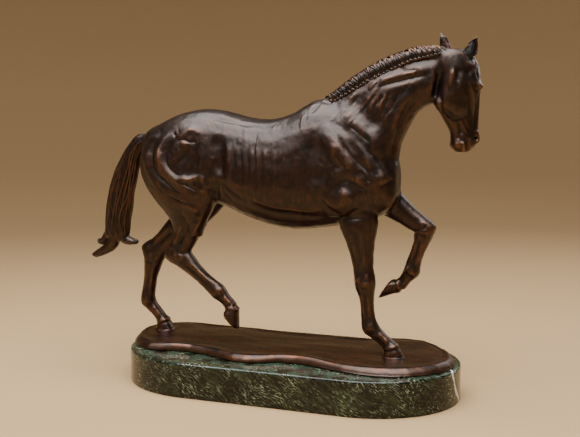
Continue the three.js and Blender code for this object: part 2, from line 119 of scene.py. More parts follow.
# What the modelling tool did on each side of the body: name, lift (below nought is a hollow),
# reach, whether it is a sharp line, and the places in side view that it runs through.
BODY_MARKS = [
    ("withers hollow", -1.2, 3.0, 0, [(33, 315), (38, 323), (42, 330)]),
    ("front edge of the shoulder blade", 2.0, 9, 0,
     [(52, 323), (79, 308), (99, 293), (113, 277), (121, 262)]),
    ("upper shoulder cleft", -1.6, 3.0, 1, [(77, 304), (88, 297), (98, 289), (106, 282)]),
    ("long shoulder cleft", -2.6, 4.2, 1,
     [(60, 301), (71, 290), (80, 278), (89, 267), (100, 256), (107, 244)]),
    ("shoulder band", 1.5, 4.5, 0, [(75, 298), (87, 285), (99, 271), (109, 256)]),
    ("rear shoulder cleft", -1.8, 3.6, 1, [(66, 278), (73, 267), (79, 256)]),
    ("rear shoulder band", 1.3, 5, 0, [(59, 290), (68, 276), (78, 264), (89, 252)]),
    ("front shoulder cleft", -1.7, 3.5, 1, [(107, 275), (114, 264), (119, 256), (123, 248)]),
    ("top of the upper arm", 1.8, 4.5, 0, [(62, 244), (71, 251), (80, 251), (90, 245), (101, 238)]),
    ("under that ridge", -1.8, 3.4, 1, [(73, 243), (85, 243), (96, 236), (105, 230)]),
    ("elbow cleft", -1.4, 3, 1, [(94, 256), (101, 247), (108, 241)]),
    ("behind the shoulder", -2.6, 12, 0, [(36, 297), (42, 273), (43, 250), (47, 230)]),
    ("girth fold", -1.6, 4, 0, [(46, 226), (54, 217), (61, 209), (66, 202)]),
    ("upper arm muscle", 2.6, 11, 0, [(70, 229), (85, 225), (97, 223)]),
    ("lower edge of the upper arm", -2.2, 4, 1,
     [(59, 217), (66, 208), (77, 202), (91, 202), (102, 206)]),
    ("arm cleft", -1.8, 3.6, 1, [(106, 241), (107, 226), (106, 210)]),
    ("point of the shoulder", 2.2, 8, 0, [(117, 248)]),
    ("breast muscle", 2.4, 14, 0, [(121, 230)]),
    ("over the breast", -1.5, 3.5, 1, [(112, 241), (116, 238), (124, 243), (130, 247)]),
    ("throat ridge", 2.1, 5, 0,
     [(156, 344), (144, 336), (134, 322), (127, 304), (123, 284), (120, 265)]),
    ("throat furrow", -2.2, 4.2, 0,
     [(164, 340), (150, 331), (138, 317), (131, 300), (126, 283), (124, 263)]),
    ("neck furrow", -2.1, 3.8, 1, [(103, 342), (118, 347), (134, 351), (152, 355), (167, 357)]),
    ("upper neck band", 1.7, 5, 0, [(92, 346), (112, 351), (134, 357), (153, 362), (168, 365)]),
    ("lower neck band", 1.1, 5, 0, [(109, 337), (129, 344), (146, 348), (161, 349)]),
    ("crest furrow", -1.4, 3, 1, [(129, 366), (141, 362), (154, 363)]),
    ("neck fan 1", -0.9, 3, 1, [(109, 338), (100, 328), (92, 317)]),
    ("neck fan 2", -1.0, 3, 1, [(117, 338), (109, 327), (103, 315)]),
    ("neck fan 3", -0.9, 3, 1, [(128, 343), (121, 333), (116, 321), (113, 309)]),
    ("neck fan 4", -0.8, 3, 1, [(98, 334), (91, 326), (85, 317)]),
    ("neck fan ridge 1", 0.8, 2.6, 0, [(112, 338), (104, 327), (97, 316)]),
    ("neck fan ridge 2", 0.9, 2.6, 0, [(122, 340), (115, 330), (110, 318)]),
    ("neck fan ridge 3", 0.7, 2.6, 0, [(103, 336), (95, 327), (88, 317)]),
    ("foot of the neck", -2.6, 10, 0, [(76, 337), (90, 324), (105, 308), (115, 292)]),
    ("behind the jowl", -1.5, 6, 0, [(174, 371), (175, 355), (174, 342), (175, 330), (178, 320)]),
    ("wing of the neck", 0.9, 5, 0, [(162, 373), (167, 361), (166, 349), (161, 339)]),
    ("belly line", 1.1, 2.0, 1, [(-44, 228), (-21, 217), (-3, 212), (16, 210), (36, 208), (57, 211)]),
    ("under the belly line", -1.4, 4, 0,
     [(-50, 224), (-28, 212), (-6, 206), (17, 204), (40, 202), (60, 203)]),
    ("flank fold 1", -1.7, 3.4, 1, [(-70, 244), (-62, 231), (-49, 222), (-34, 216)]),
    ("flank fold 2", -1.4, 3.4, 1, [(-72, 232), (-65, 221), (-56, 213)]),
    ("flank hollow", -3.2, 8.5, 0, [(-79, 294), (-74, 275), (-71, 256), (-70, 242)]),
    ("last rib", 1.6, 5, 0, [(-62, 286), (-61, 265), (-58, 246), (-47, 229)]),
    ("edge of the loin", -0.9, 3, 0, [(-99, 311), (-85, 311), (-68, 308), (-46, 304), (-28, 303)]),
    ("point of the hip", 1.6, 5, 0, [(-128, 288), (-120, 292), (-108, 298), (-98, 294), (-90, 292)]),
    ("notch behind the hip", -1.3, 2.8, 0, [(-131, 292), (-127, 293)]),
    ("hip crease", -1.3, 2.8, 1, [(-128, 282), (-118, 287), (-108, 284), (-96, 286)]),
    ("lower hip fold", 0.7, 3.0, 0, [(-121, 280), (-113, 283), (-106, 278), (-103, 274)]),
    ("thigh hollow", -2.9, 16, 0, [(-120, 275), (-108, 267), (-93, 263)]),
    ("upper thigh fold", 1.8, 3.2, 0, [(-120, 244), (-110, 241), (-101, 244), (-92, 247)]),
    ("kneecap", 3.8, 4.4, 0, [(-93, 242)]),
    ("under the kneecap", -1.4, 2.4, 0, [(-104, 237), (-100, 236)]),
    ("beside the kneecap", 1.2, 3, 0, [(-102, 242)]),
    ("hamstring band", 2.8, 5, 0, [(-128, 298), (-142, 288), (-148, 273), (-145, 258), (-136, 247),
                                   (-123, 238), (-110, 231), (-101, 226)]),
    ("inside the hamstring", -2.4, 4, 1,
     [(-119, 292), (-132, 284), (-138, 271), (-137, 259), (-128, 249), (-115, 243)]),
    ("behind the hamstring", -2.2, 4, 1,
     [(-146, 297), (-156, 283), (-158, 266), (-152, 249), (-139, 237), (-125, 228), (-110, 222)]),
    ("outer hamstring", 1.6, 5, 0, [(-163, 286), (-167, 269), (-164, 252), (-153, 238), (-138, 226)]),
    ("thigh fold", 1.2, 3.8, 0, [(-123, 245), (-112, 240), (-101, 238)]),
    ("under the thigh fold", -2.0, 3.0, 1, [(-125, 241), (-114, 235), (-104, 230), (-95, 224)]),
    ("stifle", 3.6, 6, 0, [(-90, 234)]),
    ("stifle fold", 1.8, 3.5, 0, [(-102, 232), (-93, 227), (-88, 219), (-89, 209)]),
    ("front of the stifle", -2.0, 4, 0, [(-79, 245), (-77, 232), (-82, 217)]),
    ("below the hamstring", -1.9, 4, 1, [(-143, 225), (-129, 218), (-115, 213), (-102, 212)]),
    ("top of the gaskin", 2.0, 4.5, 0, [(-125, 218), (-113, 210), (-103, 203), (-97, 199)]),
    ("gaskin cleft", -1.6, 4, 1, [(-129, 207), (-122, 196), (-117, 182), (-116, 168)]),
    ("gaskin muscle", 1.6, 5, 0, [(-107, 195), (-108, 183), (-113, 171)]),
]
# Gaps between the ribs: x of each and how deep it is. Then how far each rib stands up.
RIB_GAPS = [(-53, 0.45), (-43, 0.6), (-35, 0.75), (-26, 0.7), (-18, 0.7), (-8, 0.45), (2, 0.35)]
RIB_RISE = 0.3
TOUCHES = 260  # short strokes of the tool on each side

LEG_LIFT = 0.75  # the share of their lift that the marks on the legs are given
BETWEEN_LEGS = 0.5  # just off the horse's middle
HOOF_REACH = 24  # how far from the coronet a hoof reaches
# The same on the legs: how far down the leg (0 elbow or stifle, 1 knee or hock, 2 fetlock,
# 3 coronet, 4 toe) and how far ahead of the bone's middle.
FORE_MARKS = [
    ("forearm muscle", 1.5, 4.5, 0, [(0.05, 4), (0.35, 5), (0.7, 4), (0.86, 3)]),
    ("forearm cleft", -1.6, 2.6, 1, [(0.1, -1), (0.4, 0), (0.75, -0.5)]),
    ("forearm cleft, front", -1.0, 2.2, 1, [(0.15, 8), (0.45, 7.5), (0.8, 6)]),
    ("back of the forearm", 1.2, 4, 0, [(0.1, -7), (0.4, -6), (0.75, -5)]),
    ("chestnut edge", -1.0, 2.4, 1, [(0.3, -9), (0.6, -7.5), (0.85, -6)]),
    ("knee, upper", 1.2, 3.0, 0, [(0.93, 5)]),
    ("knee, middle", 1.2, 3.2, 0, [(1.03, 3)]),
    ("knee, rear", 1.2, 3.0, 0, [(0.97, -5)]),
    ("knee crease", -1.2, 2.0, 1, [(0.97, 7), (0.99, 1), (0.97, -3)]),
    ("below the knee", -1.3, 2.2, 1, [(1.17, 6), (1.16, 0), (1.12, -5)]),
    ("shin bone", 1.1, 2.6, 0, [(1.2, 3.5), (1.5, 3.2), (1.85, 3.4)]),
    ("tendon furrow", -1.4, 2.0, 1, [(1.2, -1), (1.5, -1.2), (1.88, -1)]),
    ("tendon", 1.0, 2.2, 0, [(1.18, -4.4), (1.5, -4.6), (1.85, -5)]),
    ("fetlock", 1.3, 4.0, 0, [(2.0, 2)]),
    ("rear of the fetlock", 1.2, 3.2, 0, [(2.02, -6)]),
    ("fetlock crease", -1.3, 2.0, 1, [(2.2, -5), (2.24, 0), (2.2, 6)]),
    ("pastern", 1.2, 3.0, 0, [(2.3, 3), (2.6, 3), (2.88, 3)]),
    ("pastern furrow", -1.2, 2.2, 1, [(2.35, -2), (2.62, -1.5), (2.9, -2)]),
]
HIND_MARKS = [
    ("front of the gaskin", 1.2, 2.4, 1, [(0.05, 10), (0.3, 10), (0.6, 8)]),
    ("gaskin furrow", -1.5, 3.0, 1, [(0.3, 1), (0.55, 0), (0.85, -1)]),
    ("great tendon", 1.8, 3.0, 0, [(0.45, -9), (0.7, -8), (0.95, -8)]),
    ("before the great tendon", -2.0, 3.2, 0, [(0.45, -3), (0.7, -3.5), (0.92, -4)]),
    ("point of the hock", 1.4, 3.6, 0, [(0.96, -9)]),
    ("hock, outer", 1.5, 3.6, 0, [(1.0, 1)]),
    ("hock, front", 1.2, 3.2, 0, [(0.97, 7)]),
    ("hock crease", -1.4, 2.2, 1, [(0.92, 7), (1.03, 5), (1.1, 6)]),
    ("below the hock", -1.2, 2.2, 1, [(1.14, -6), (1.17, -1), (1.16, 5)]),
    ("shin bone", 1.3, 2.4, 0, [(1.15, 4), (1.5, 3.8), (1.85, 3.6)]),
    ("tendon furrow", -1.4, 2.0, 1, [(1.15, -1), (1.5, -1), (1.88, -1)]),
    ("tendon", 1.0, 2.2, 0, [(1.15, -5), (1.5, -4.6), (1.85, -5)]),
    ("fetlock", 1.4, 4.0, 0, [(2.0, 2)]),
    ("rear of the fetlock", 1.2, 3.2, 0, [(2.02, -6)]),
    ("fetlock crease", -1.3, 2.0, 1, [(2.22, -5), (2.26, 0), (2.2, 6)]),
    ("pastern", 1.2, 3.0, 0, [(2.3, 3), (2.6, 3), (2.88, 3)]),
    ("pastern furrow", -1.2, 2.2, 1, [(2.35, -2), (2.62, -1.5), (2.9, -2)]),
]

# The same on the head: how far ahead of the poll and how high.
HEAD_MARKS = [
    ("jowl", 1.0, 12, 0, [(3, 331)]),
    ("round the jowl", -2.0, 2.8, 1,
     [(17, 318), (12, 312), (3, 309), (-6, 313), (-12, 322), (-14, 335)]),
    ("behind the jowl", -1.5, 3.4, 0, [(-16, 355), (-16, 340), (-13, 324)]),
    ("cheek ridge", 1.5, 2.6, 1, [(8, 352), (15, 346), (20, 336), (23, 322), (24, 310)]),
    ("under the cheek ridge", -1.3, 2.6, 0, [(11, 344), (16, 335), (19, 322), (20, 310)]),
    ("brow", 1.2, 2.8, 0, [(15, 344), (20, 347), (26, 346.5), (31, 343)]),
    ("eye socket", -1.5, 3.6, 0, [(21, 340.5), (27, 340)]),
    ("eyeball", 1.3, 2.6, 0, [(24, 340)]),
    ("upper lid", 1.0, 1.1, 1, [(20, 340.5), (22.5, 343.1), (26, 342.9), (28.5, 340.5)]),
    ("lower lid", 0.9, 1.1, 1, [(20, 340), (22.5, 337.5), (26, 337.3), (28.5, 339.5)]),
    ("temple hollow", -1.8, 4, 0, [(15, 360)]),
    ("temple bump", 1.4, 3.4, 0, [(21, 360)]),
    ("front of the temple", -1.1, 2.4, 1, [(26, 366), (25, 358), (28, 352)]),
    ("jaw hinge", 1.4, 3, 0, [(-2, 365), (-5, 353), (-6, 342)]),
    ("before the jaw hinge", -1.4, 3, 0, [(4, 366), (2, 356), (1, 347)]),
    ("face vein 1", 0.8, 1.5, 1, [(6, 312), (12, 304), (17, 296), (22, 290)]),
    ("face vein 2", 0.7, 1.5, 1, [(10, 314), (17, 306), (20, 299)]),
    ("nose furrow", -1.1, 2.4, 0, [(27, 334), (27.5, 320), (27, 304), (25, 297)]),
    ("nose bone", 0.9, 2.2, 0, [(31, 338), (31.5, 322), (31.5, 306), (31, 298)]),
    ("cheek furrow", -1.2, 2.6, 0, [(8, 308), (10, 299), (13, 292)]),
    ("nostril wing", 1.3, 1.6, 0, [(25, 295), (29, 297), (32, 294), (32, 287), (28, 283.5), (25, 286)]),
    ("nostril", -3.4, 2.6, 0, [(28, 292.5), (29.5, 289), (28, 286.5)]),
    ("mouth", -2.9, 1.8, 1, [(14.5, 292), (17, 285), (18, 279), (18.5, 273.5)]),
    ("upper lip", 1.3, 2.4, 0, [(20, 291), (22, 283), (22, 277)]),
    ("lower lip", 1.2, 2.2, 0, [(13, 287), (14, 280), (14, 275)]),
    ("chin", 1.3, 3.2, 0, [(7, 282)]),
    ("chin furrow", -1.6, 2.2, 1, [(4, 291), (9, 290), (12, 284)]),
]


# ------------------------------------------------------------------ small helpers
def linear(code):
    """An sRGB hex colour such as 3b2517 as linear red, green, blue and alpha."""
    parts = [int(code[i:i + 2], 16) / 255 for i in (0, 2, 4)]
    return tuple(c / 12.92 if c <= 0.04045 else ((c + 0.055) / 1.055) ** 2.4 for c in parts) + (1.0,)


def grain(size_mm):
    """The scale that gives a noise pattern spots of about this size."""
    return 1 / (size_mm * MM)


def ease(low, high, value):
    """Nought at low and one at high, with a soft start and end."""
    share = np.clip((value - low) / (high - low), 0, 1)
    return share * share * (3 - 2 * share)


def smooth_path(spots, step):
    """A soft curve through the spots, cut into steps of about this length."""
    spots = np.asarray(spots, float)
    if len(spots) < 2:
        return spots
    ends = np.vstack([2 * spots[0] - spots[1], spots, 2 * spots[-1] - spots[-2]])
    out = []
    for a, b, c, d in zip(ends, ends[1:], ends[2:], ends[3:]):
        count = max(1, int(np.linalg.norm(c - b) / step))
        t = (np.arange(count) / count)[:, None]
        out.append(0.5 * (2 * b + (c - a) * t + (2 * a - 5 * b + 4 * c - d) * t**2
                          + (3 * b - a - 3 * c + d) * t**3))
    return np.vstack(out + [spots[-1:]])


def at(rows, key, column):
    """What a column of a table says where its first column is key."""
    table = np.array(rows, float)
    order = np.argsort(table[:, 0])
    return np.interp(key, table[order, 0], table[order, column])


def head_point(ahead, left, z):
    return np.array([POLL[0], POLL[1], z]) + ahead * AHEAD + left * SIDEWAYS


def ahead_of_poll(points):
    """How far each point lies ahead of the poll, the way the head looks."""
    return (points - np.array([*POLL, 0])) @ AHEAD


def clay(points, size, seed):
    """Soft random lumps of about this size in mm, from -1 to 1."""
    rng = np.random.default_rng(seed)
    side = 64
    lattice = rng.uniform(-1, 1, (side, side, side))
    place = points / size
    cell = np.floor(place).astype(int)
    t = place - cell
    t = t * t * (3 - 2 * t)
    total = np.zeros(len(points))
    for corner in np.ndindex(2, 2, 2):
        weight = np.prod([t[:, k] if corner[k] else 1 - t[:, k] for k in range(3)], axis=0)
        index = tuple((cell[:, k] + corner[k]) % side for k in range(3))
        total += weight * lattice[index]
    return total


def places_of(mesh):
    """The place of each point of a mesh, in metres."""
    flat = np.empty(len(mesh.vertices) * 3)
    mesh.vertices.foreach_get("co", flat)
    return flat.reshape(-1, 3)


def paint(mesh, name, values):
    """Keeps a value from 0 to 1 at each point of a mesh, for its material."""
    layer = mesh.attributes.new(name, "FLOAT", "POINT")
    layer.data.foreach_set("value", np.clip(values, 0, 1).astype(np.float32))


def stand(name, mesh, node):
    """Puts a finished mesh in the scene as a piece that rides on the horse's one body."""
    piece = bpy.data.objects.new(name, mesh)
    bpy.context.scene.collection.objects.link(piece)
    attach(piece, "root")
    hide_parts(node)


def applied(thing):
    """The thing's shape with its modifiers applied, as a plain mesh. The thing itself goes."""
    bpy.context.view_layer.update()
    graph = bpy.context.evaluated_depsgraph_get()
    mesh = bpy.data.meshes.new_from_object(thing.evaluated_get(graph), depsgraph=graph)
    bpy.data.objects.remove(thing)
    return mesh


def cad_surface():
    """The casting's CAD surface, ready for rays."""
    mesh = CASTING.data
    corners = [tuple(face.vertices) for face in mesh.polygons]
    return BVHTree.FromPolygons([point.co for point in mesh.vertices], corners)


# ------------------------------------------------------------------ the casting's surface
SHARP_SPAN, SOFT_SPAN = 3.2, 2.4  # how far from its path a mark is felt, in reaches
TAPER = 0.3  # the share of a mark's length over which it starts and ends


class Skin:
    """The casting's surface as arrays in mm, to be faired, carved and written back."""

    def __init__(self, mesh):
        self.mesh = mesh
        self.count = len(mesh.vertices)
        self.points = places_of(mesh) / MM
        pairs = np.empty(len(mesh.edges) * 2, np.int32)
        mesh.edges.foreach_get("vertices", pairs)
        self.edges = pairs.reshape(-1, 2)
        self.degree = np.bincount(pairs, minlength=self.count)
        self.lift = np.zeros(self.count)
        self.painted_ear_shade = np.zeros(self.count)  # painted shade inside the ears' hollows, dark whatever the shape says

    def average(self, values):
        """Each point's neighbours, averaged."""
        if values.ndim == 2:
            return np.stack([self.average(column) for column in values.T], axis=1)
        a, b = self.edges[:, 0], self.edges[:, 1]
        total = np.bincount(a, values[b], self.count) + np.bincount(b, values[a], self.count)
        return total / self.degree

    def soften(self, values, passes, give=0.5):
        """The values, each drawn towards its neighbours so many times."""
        for _ in range(passes):
            change = self.average(values) - values
            values = values + (change.T * give).T
        return values

    def fair(self, passes, give):
        """Takes the flats out of the surface. What the first softening took away goes back,
        softened, so the surface keeps its bulk."""
        once = self.soften(self.points, passes, give)
        self.points = self.soften(2 * self.points - once, passes, give)

    def normals(self):
        """Writes the points back to the mesh, and returns which way each one faces."""
        self.mesh.vertices.foreach_set("co", (self.points * MM).ravel())
        self.mesh.update()
        flat = np.empty(self.count * 3)
        self.mesh.vertex_normals.foreach_get("vector", flat)
        return flat.reshape(-1, 3)

    def press(self, path, outward, lift, reach, sharp, seed):
        """Raises or sinks the surface along a path that lies on it, where it faces outward."""
        if not len(path):
            return
        span = reach * (SHARP_SPAN if sharp else SOFT_SPAN)
        inside = ((self.points > path.min(0) - span) & (self.points < path.max(0) + span)).all(1)
        near = np.flatnonzero(inside)
        if not len(near):
            return
        place = self.points[near][:, None]
        if len(path) == 1:
            gap, along = np.linalg.norm(place[:, 0] - path[0], axis=1), np.full(len(near), 0.5)
        else:
            start, step = path[:-1], np.diff(path, axis=0)
            share = ((place - start) * step).sum(2) / np.maximum((step * step).sum(1), 1e-9)
            share = np.clip(share, 0, 1)
            gaps = np.linalg.norm(place - start - share[..., None] * step, axis=2)
            best = gaps.argmin(1)
            rows = np.arange(len(near))
            gap, along = gaps[rows, best], (best + share[rows, best]) / len(step)
        form = np.exp(-1.5 * gap / reach) if sharp else np.exp(-((gap / reach) ** 2))
        length = np.linalg.norm(np.diff(path, axis=0), axis=1).sum()
        fade = ease(0, TAPER, along) * ease(0, TAPER, 1 - along) if len(path) > 1 else 1
        wobble = 1 + 0.2 * np.sin(length * along / 6 + seed)  # the hand's uneven pressure
        faces = ease(-0.25, 0.7, self.facing[near] @ outward)
        self.lift[near] += lift * form * fade * wobble * faces


def left_lean(plan):
    """How far the left legs carry the marks of the thigh and upper arm from their place on the
    right."""
    x, z = plan[:, 0], plan[:, 1]
    hind = ease(0, 70, 285 - z) * (x < -60)
    fore = ease(0, 50, 275 - z) * (x > 50)
    return np.stack([-18 * hind + 9 * fore, -10 * hind + 20 * fore], axis=1)


def cast_rays(tree, starts, direction):
    """Where rays from these places, in mm, first meet the CAD surface."""
    aim = Vector(direction)
    hits = [tree.ray_cast(Vector(start) * MM, aim)[0] for start in starts]
    return np.array([np.array(hit) / MM for hit in hits if hit is not None]).reshape(-1, 3)


def across_horse(tree, plan, start, way):
    """Where lines across the horse first meet the CAD surface, in mm. The plan is their places in
    side view, start how far to the left they begin, and way 1 for leftwards or -1."""
    return cast_rays(tree, [(x, start, z) for x, z in plan], (0, way, 0))


def carve_body(skin, tree):
    """The muscles and ribs, on both sides."""
    marks = list(BODY_MARKS)
    # Each gap's top and foot wander a little from its neighbour's.
    for k, (x, depth) in enumerate(RIB_GAPS):
        top, foot = 288 - 3 * (k % 3), 218 + 4 * (k % 2) + 0.4 * abs(x + 20)
        run = [(x - 5, top), (x, 266), (x + 2, 243), (x - 1, foot)]
        marks.append((f"rib gap {k}", -depth, 2.4, 1, run))
        marks.append((f"rib {k}", RIB_RISE, 3.0, 0, [(px - 4.5, pz) for px, pz in run]))
    for side in (RIGHT, LEFT):
        for seed, (_, lift, reach, sharp, spots) in enumerate(marks):
            plan = smooth_path(spots, 2.0)
            if side == LEFT:
                plan = plan + left_lean(plan)
            path = across_horse(tree, plan, side * BESIDE_BODY, -side)
            skin.press(path, side * LEFTWARDS, lift, reach, sharp, seed)


def touch_way(x, z):
    """The way the modelling tool went at a place on the body in side view."""
    if x < -70:
        way = (0.55, -0.83)  # down the thigh
    elif x > 45 and z > 305:
        way = (0.6, 0.8)  # up the neck
    elif x > 30:
        way = (0.7, -0.7)  # along the shoulder
    else:
        way = (0.08, -1.0)  # down the ribs
    return np.array(way)


def carve_touches(skin, tree):
    """Short strokes of the modelling tool over the body and neck, along the muscles."""
    for side in (RIGHT, LEFT):
        rng = np.random.default_rng(20 + side)
        for seed in range(TOUCHES):
            spot = np.array([rng.uniform(-165, 150), rng.uniform(205, 372)])
            way = touch_way(*spot)
            half, bend = rng.uniform(4, 12), rng.uniform(-1.5, 1.5)
            across = np.array([-way[1], way[0]])
            plan = smooth_path([spot - half * way, spot + bend * across, spot + half * way], 2.0)
            path = across_horse(tree, plan, side * BESIDE_BODY, -side)
            if len(path) > 3 and abs(np.diff(path[:, 1])).max() < 3:  # it doesn't leap to a leg
                lift = rng.choice([-0.6, -0.45, 0.4]) * (1.3 if spot[1] > 305 else 0.7)
                skin.press(path, side * LEFTWARDS, lift, rng.uniform(1.2, 2.2), lift < 0, seed)


def leg_spot(joints, along, ahead):
    """A place in side view: so far down the leg and so far ahead of its middle."""
    k = min(int(along), len(joints) - 2)
    start, end = np.array(joints[k], float), np.array(joints[k + 1], float)
    run = (end - start) / np.linalg.norm(end - start)
    return start + (end - start) * (along - k) + ahead * np.array([-run[1], run[0]])


def carve_legs(skin, tree):
    """Muscles, bones and tendons on both faces of each leg, and the rim and rings of its hoof."""
    for name, (y, joints, toe, heel) in LEGS.items():
        chain = joints + [toe]
        side = RIGHT if y < 0 else LEFT
        marks = FORE_MARKS if "fore" in name else HIND_MARKS
        for seed, (_, lift, reach, sharp, spots) in enumerate(marks):
            plan = smooth_path([leg_spot(chain, *spot) for spot in spots], 1.5)
            lift = LEG_LIFT * lift
            outer = across_horse(tree, plan, side * BESIDE_LEG, -side)
            skin.press(outer, side * LEFTWARDS, lift, reach, sharp, seed)
            if min(along for along, _ in spots) >= 0.4:  # higher up, the legs meet the body
                inner = across_horse(tree, plan, side * BETWEEN_LEGS, side)
                skin.press(inner, -side * LEFTWARDS, lift, reach, sharp, seed)
        coronet = np.array([joints[3][0], y, joints[3][1]])
        sole = np.array([(toe[0] + heel[0]) / 2, y, (toe[1] + heel[1]) / 2])
        down = (sole - coronet) / np.linalg.norm(sole - coronet)
        near = np.flatnonzero(np.linalg.norm(skin.points - coronet, axis=1) < HOOF_REACH)
        depth = (skin.points[near] - coronet) @ down
        wall = ease(0.95, 0.6, np.abs(skin.facing[near] @ down))
        # A raised band at the coronet, a furrow under it, and growth rings down the hoof.
        band = 0.5 * np.exp(-((depth + 0.5) / 1.8) ** 2)
        furrow = 0.55 * np.exp(-((depth - 2.6) / 1.5) ** 2)
        rings = 0.12 * np.sin(depth * 2.1) * ease(3, 5, depth)
        skin.lift[near] += (band - furrow + rings) * wall


def carve_head(skin, tree):
    """Eyes, nostrils, mouth, jowls and the lines of the cheeks, on both sides."""
    for side in (RIGHT, LEFT):
        out = side * SIDEWAYS
        for seed, (_, lift, reach, sharp, spots) in enumerate(HEAD_MARKS):
            plan = smooth_path(spots, 1.0)
            starts = [head_point(ahead, side * BESIDE_HEAD, z) for ahead, z in plan]
            skin.press(cast_rays(tree, starts, -out), out, lift, reach, sharp, seed)


def hollow_ears(skin):
    """Fills out each ear's leaf, hollows the face that it turns out, and paints shade into that hollow.
    """
    for foot, tip, half, (face_ahead, face_left) in EARS:
        foot, tip = head_point(*foot), head_point(*tip)
        rise = (tip - foot) / np.linalg.norm(tip - foot)
        face = face_ahead * AHEAD + face_left * SIDEWAYS
        face = face - (face @ rise) * rise
        face /= np.linalg.norm(face)
        across = np.cross(rise, face)
        rel = skin.points - foot
        up = rel @ rise / np.linalg.norm(tip - foot)
        width = half * np.interp(up, [-0.25, 0.05, 0.38, 0.7, 1.0], [0.7, 0.8, 0.95, 0.6, 0.05])
        beside = np.linalg.norm(rel - np.outer(rel @ rise, rise), axis=1)
        near = (up > -0.05) & (up < 1.02) & (beside < half * 1.3)
        off = np.abs(rel @ across) / np.maximum(width, 0.4)
        fuller = 0.3 * ease(0.3, 0.6, up) * ease(1.05, 0.85, up)
        skin.points += np.outer(np.where(near, fuller * (rel @ across), 0), across)
        dent = EAR_DEPTH * ease(-0.05, 0.18, up) * ease(1.0, 0.72, up) * ease(1.0, 0.55, off)
        sunk = np.where(near, dent * ease(0.0, 0.4, skin.facing @ face), 0)
        skin.points -= np.outer(sunk, face)
        # Painted shade inside the ear's hollow, darkest where it is sunk most.
        skin.painted_ear_shade = np.maximum(skin.painted_ear_shade, ease(0.3, 2.0, sunk))


def give_of(points):
    """How freely each part is faired: the trunk wholly, crisp and slender parts less."""
    x, z = points[:, 0], points[:, 2]
    ahead = ahead_of_poll(points)
    give = np.full(len(points), 0.5)
    give[z < 205] = 0.3  # legs
    give[(x < -185) & (z > 130)] = 0.3  # tail
    give[(z > 268) & (ahead > -8)] = 0.2  # head
    give[z > 383] = 0.08  # ears
    give[z < 52] = 0.16  # hooves and ground plate
    return give


def blunt_of(points):
    """Where the surface is rounded off after fairing: the front of the breast and the brows."""
    x, z = points[:, 0], points[:, 2]
    ahead = ahead_of_poll(points)
    breast = ease(106, 118, x) * ease(300, 280, z) * ease(198, 210, z) * ease(15, 5, ahead)
    brows = ease(12, 16, ahead) * ease(356, 351, z) * ease(332, 337, z)
    return 0.5 * np.maximum(breast, brows)


def roughen(skin, horse):
    """Lumps of clay over the horse. Swells, streaks and a round shoulder on its ground plate."""
    plate, upward = 1 - horse, ease(0.3, 0.8, skin.facing[:, 2])
    lumps = sum(lift * clay(skin.points, size, seed)
                for lift, size, seed in ((0.24, 7, 1), (0.16, 3.2, 2), (0.07, 1.7, 5)))
    streaks = (0.16 * clay(skin.points * (0.25, 1.0, 0.3), 6, 3)
               + 0.35 * clay(skin.points * (0.6, 1.0, 1.0), 15, 4))
    skin.lift += lumps * horse * 0.8 + streaks * plate * upward
    # The plate's border is a round shoulder, steep at the edge and level further in.
    height = skin.points[:, 2] - PLATE_FOOT
    share = np.clip((height - PLATE_LIP) / PLATE_SLOPE, 0, 1)
    shoulder = (3.3 + 0.8 * clay(skin.points, 30, 8)) * np.sin(np.pi * share) + 1.4 * share
    below_hooves = ease(*PLATE_TOP, height)
    skin.points[:, 2] += shoulder * ease(0.1, 0.5, skin.facing[:, 2]) * below_hooves
    skin.lift += 0.8 * clay(skin.points * (0.6, 1.0, 1.0), 24, 6) * plate * upward


def paint_patina(skin, horse, fineness):
    """Keeps where patina pools, where hands rub, where the surface faces sideways or down for a painted
    warm reflection, and what is ground.
    """
    facing, z = skin.normals(), skin.points[:, 2]
    fine, wide = (((skin.soften(skin.points, passes) - skin.points) * facing).sum(1)
                  for passes in (8, int(60 * fineness) + 8))
    # Patina pooled in the hollows, with the painted shade of the ears added to it.
    hollow = ease(0.03, 0.30, fine) * 0.55 + ease(0.1, 1.4, wide) * 0.5 + skin.painted_ear_shade
    head = ease(-12, 4, ahead_of_poll(skin.points)) * ease(262, 272, z)  # darker than the body
    inner = ease(5.5, 8.3, z - PLATE_FOOT)  # the plate's border stays dark
    paint(skin.mesh, "hollow", hollow)
    paint(skin.mesh, "worn", ease(0.03, 0.22, -fine) * 0.5 + ease(0.1, 1.2, -wide) * 0.6)
    # Faces sideways or down: where the material paints a warm reflection and lets patina run; less
    # reflection on the head.
    paint(skin.mesh, "shade", ease(0.55, -0.35, facing[:, 2]) * horse * (1 - 0.45 * head))
    paint(skin.mesh, "ground", (1 - horse) * (0.12 + 0.88 * inner))


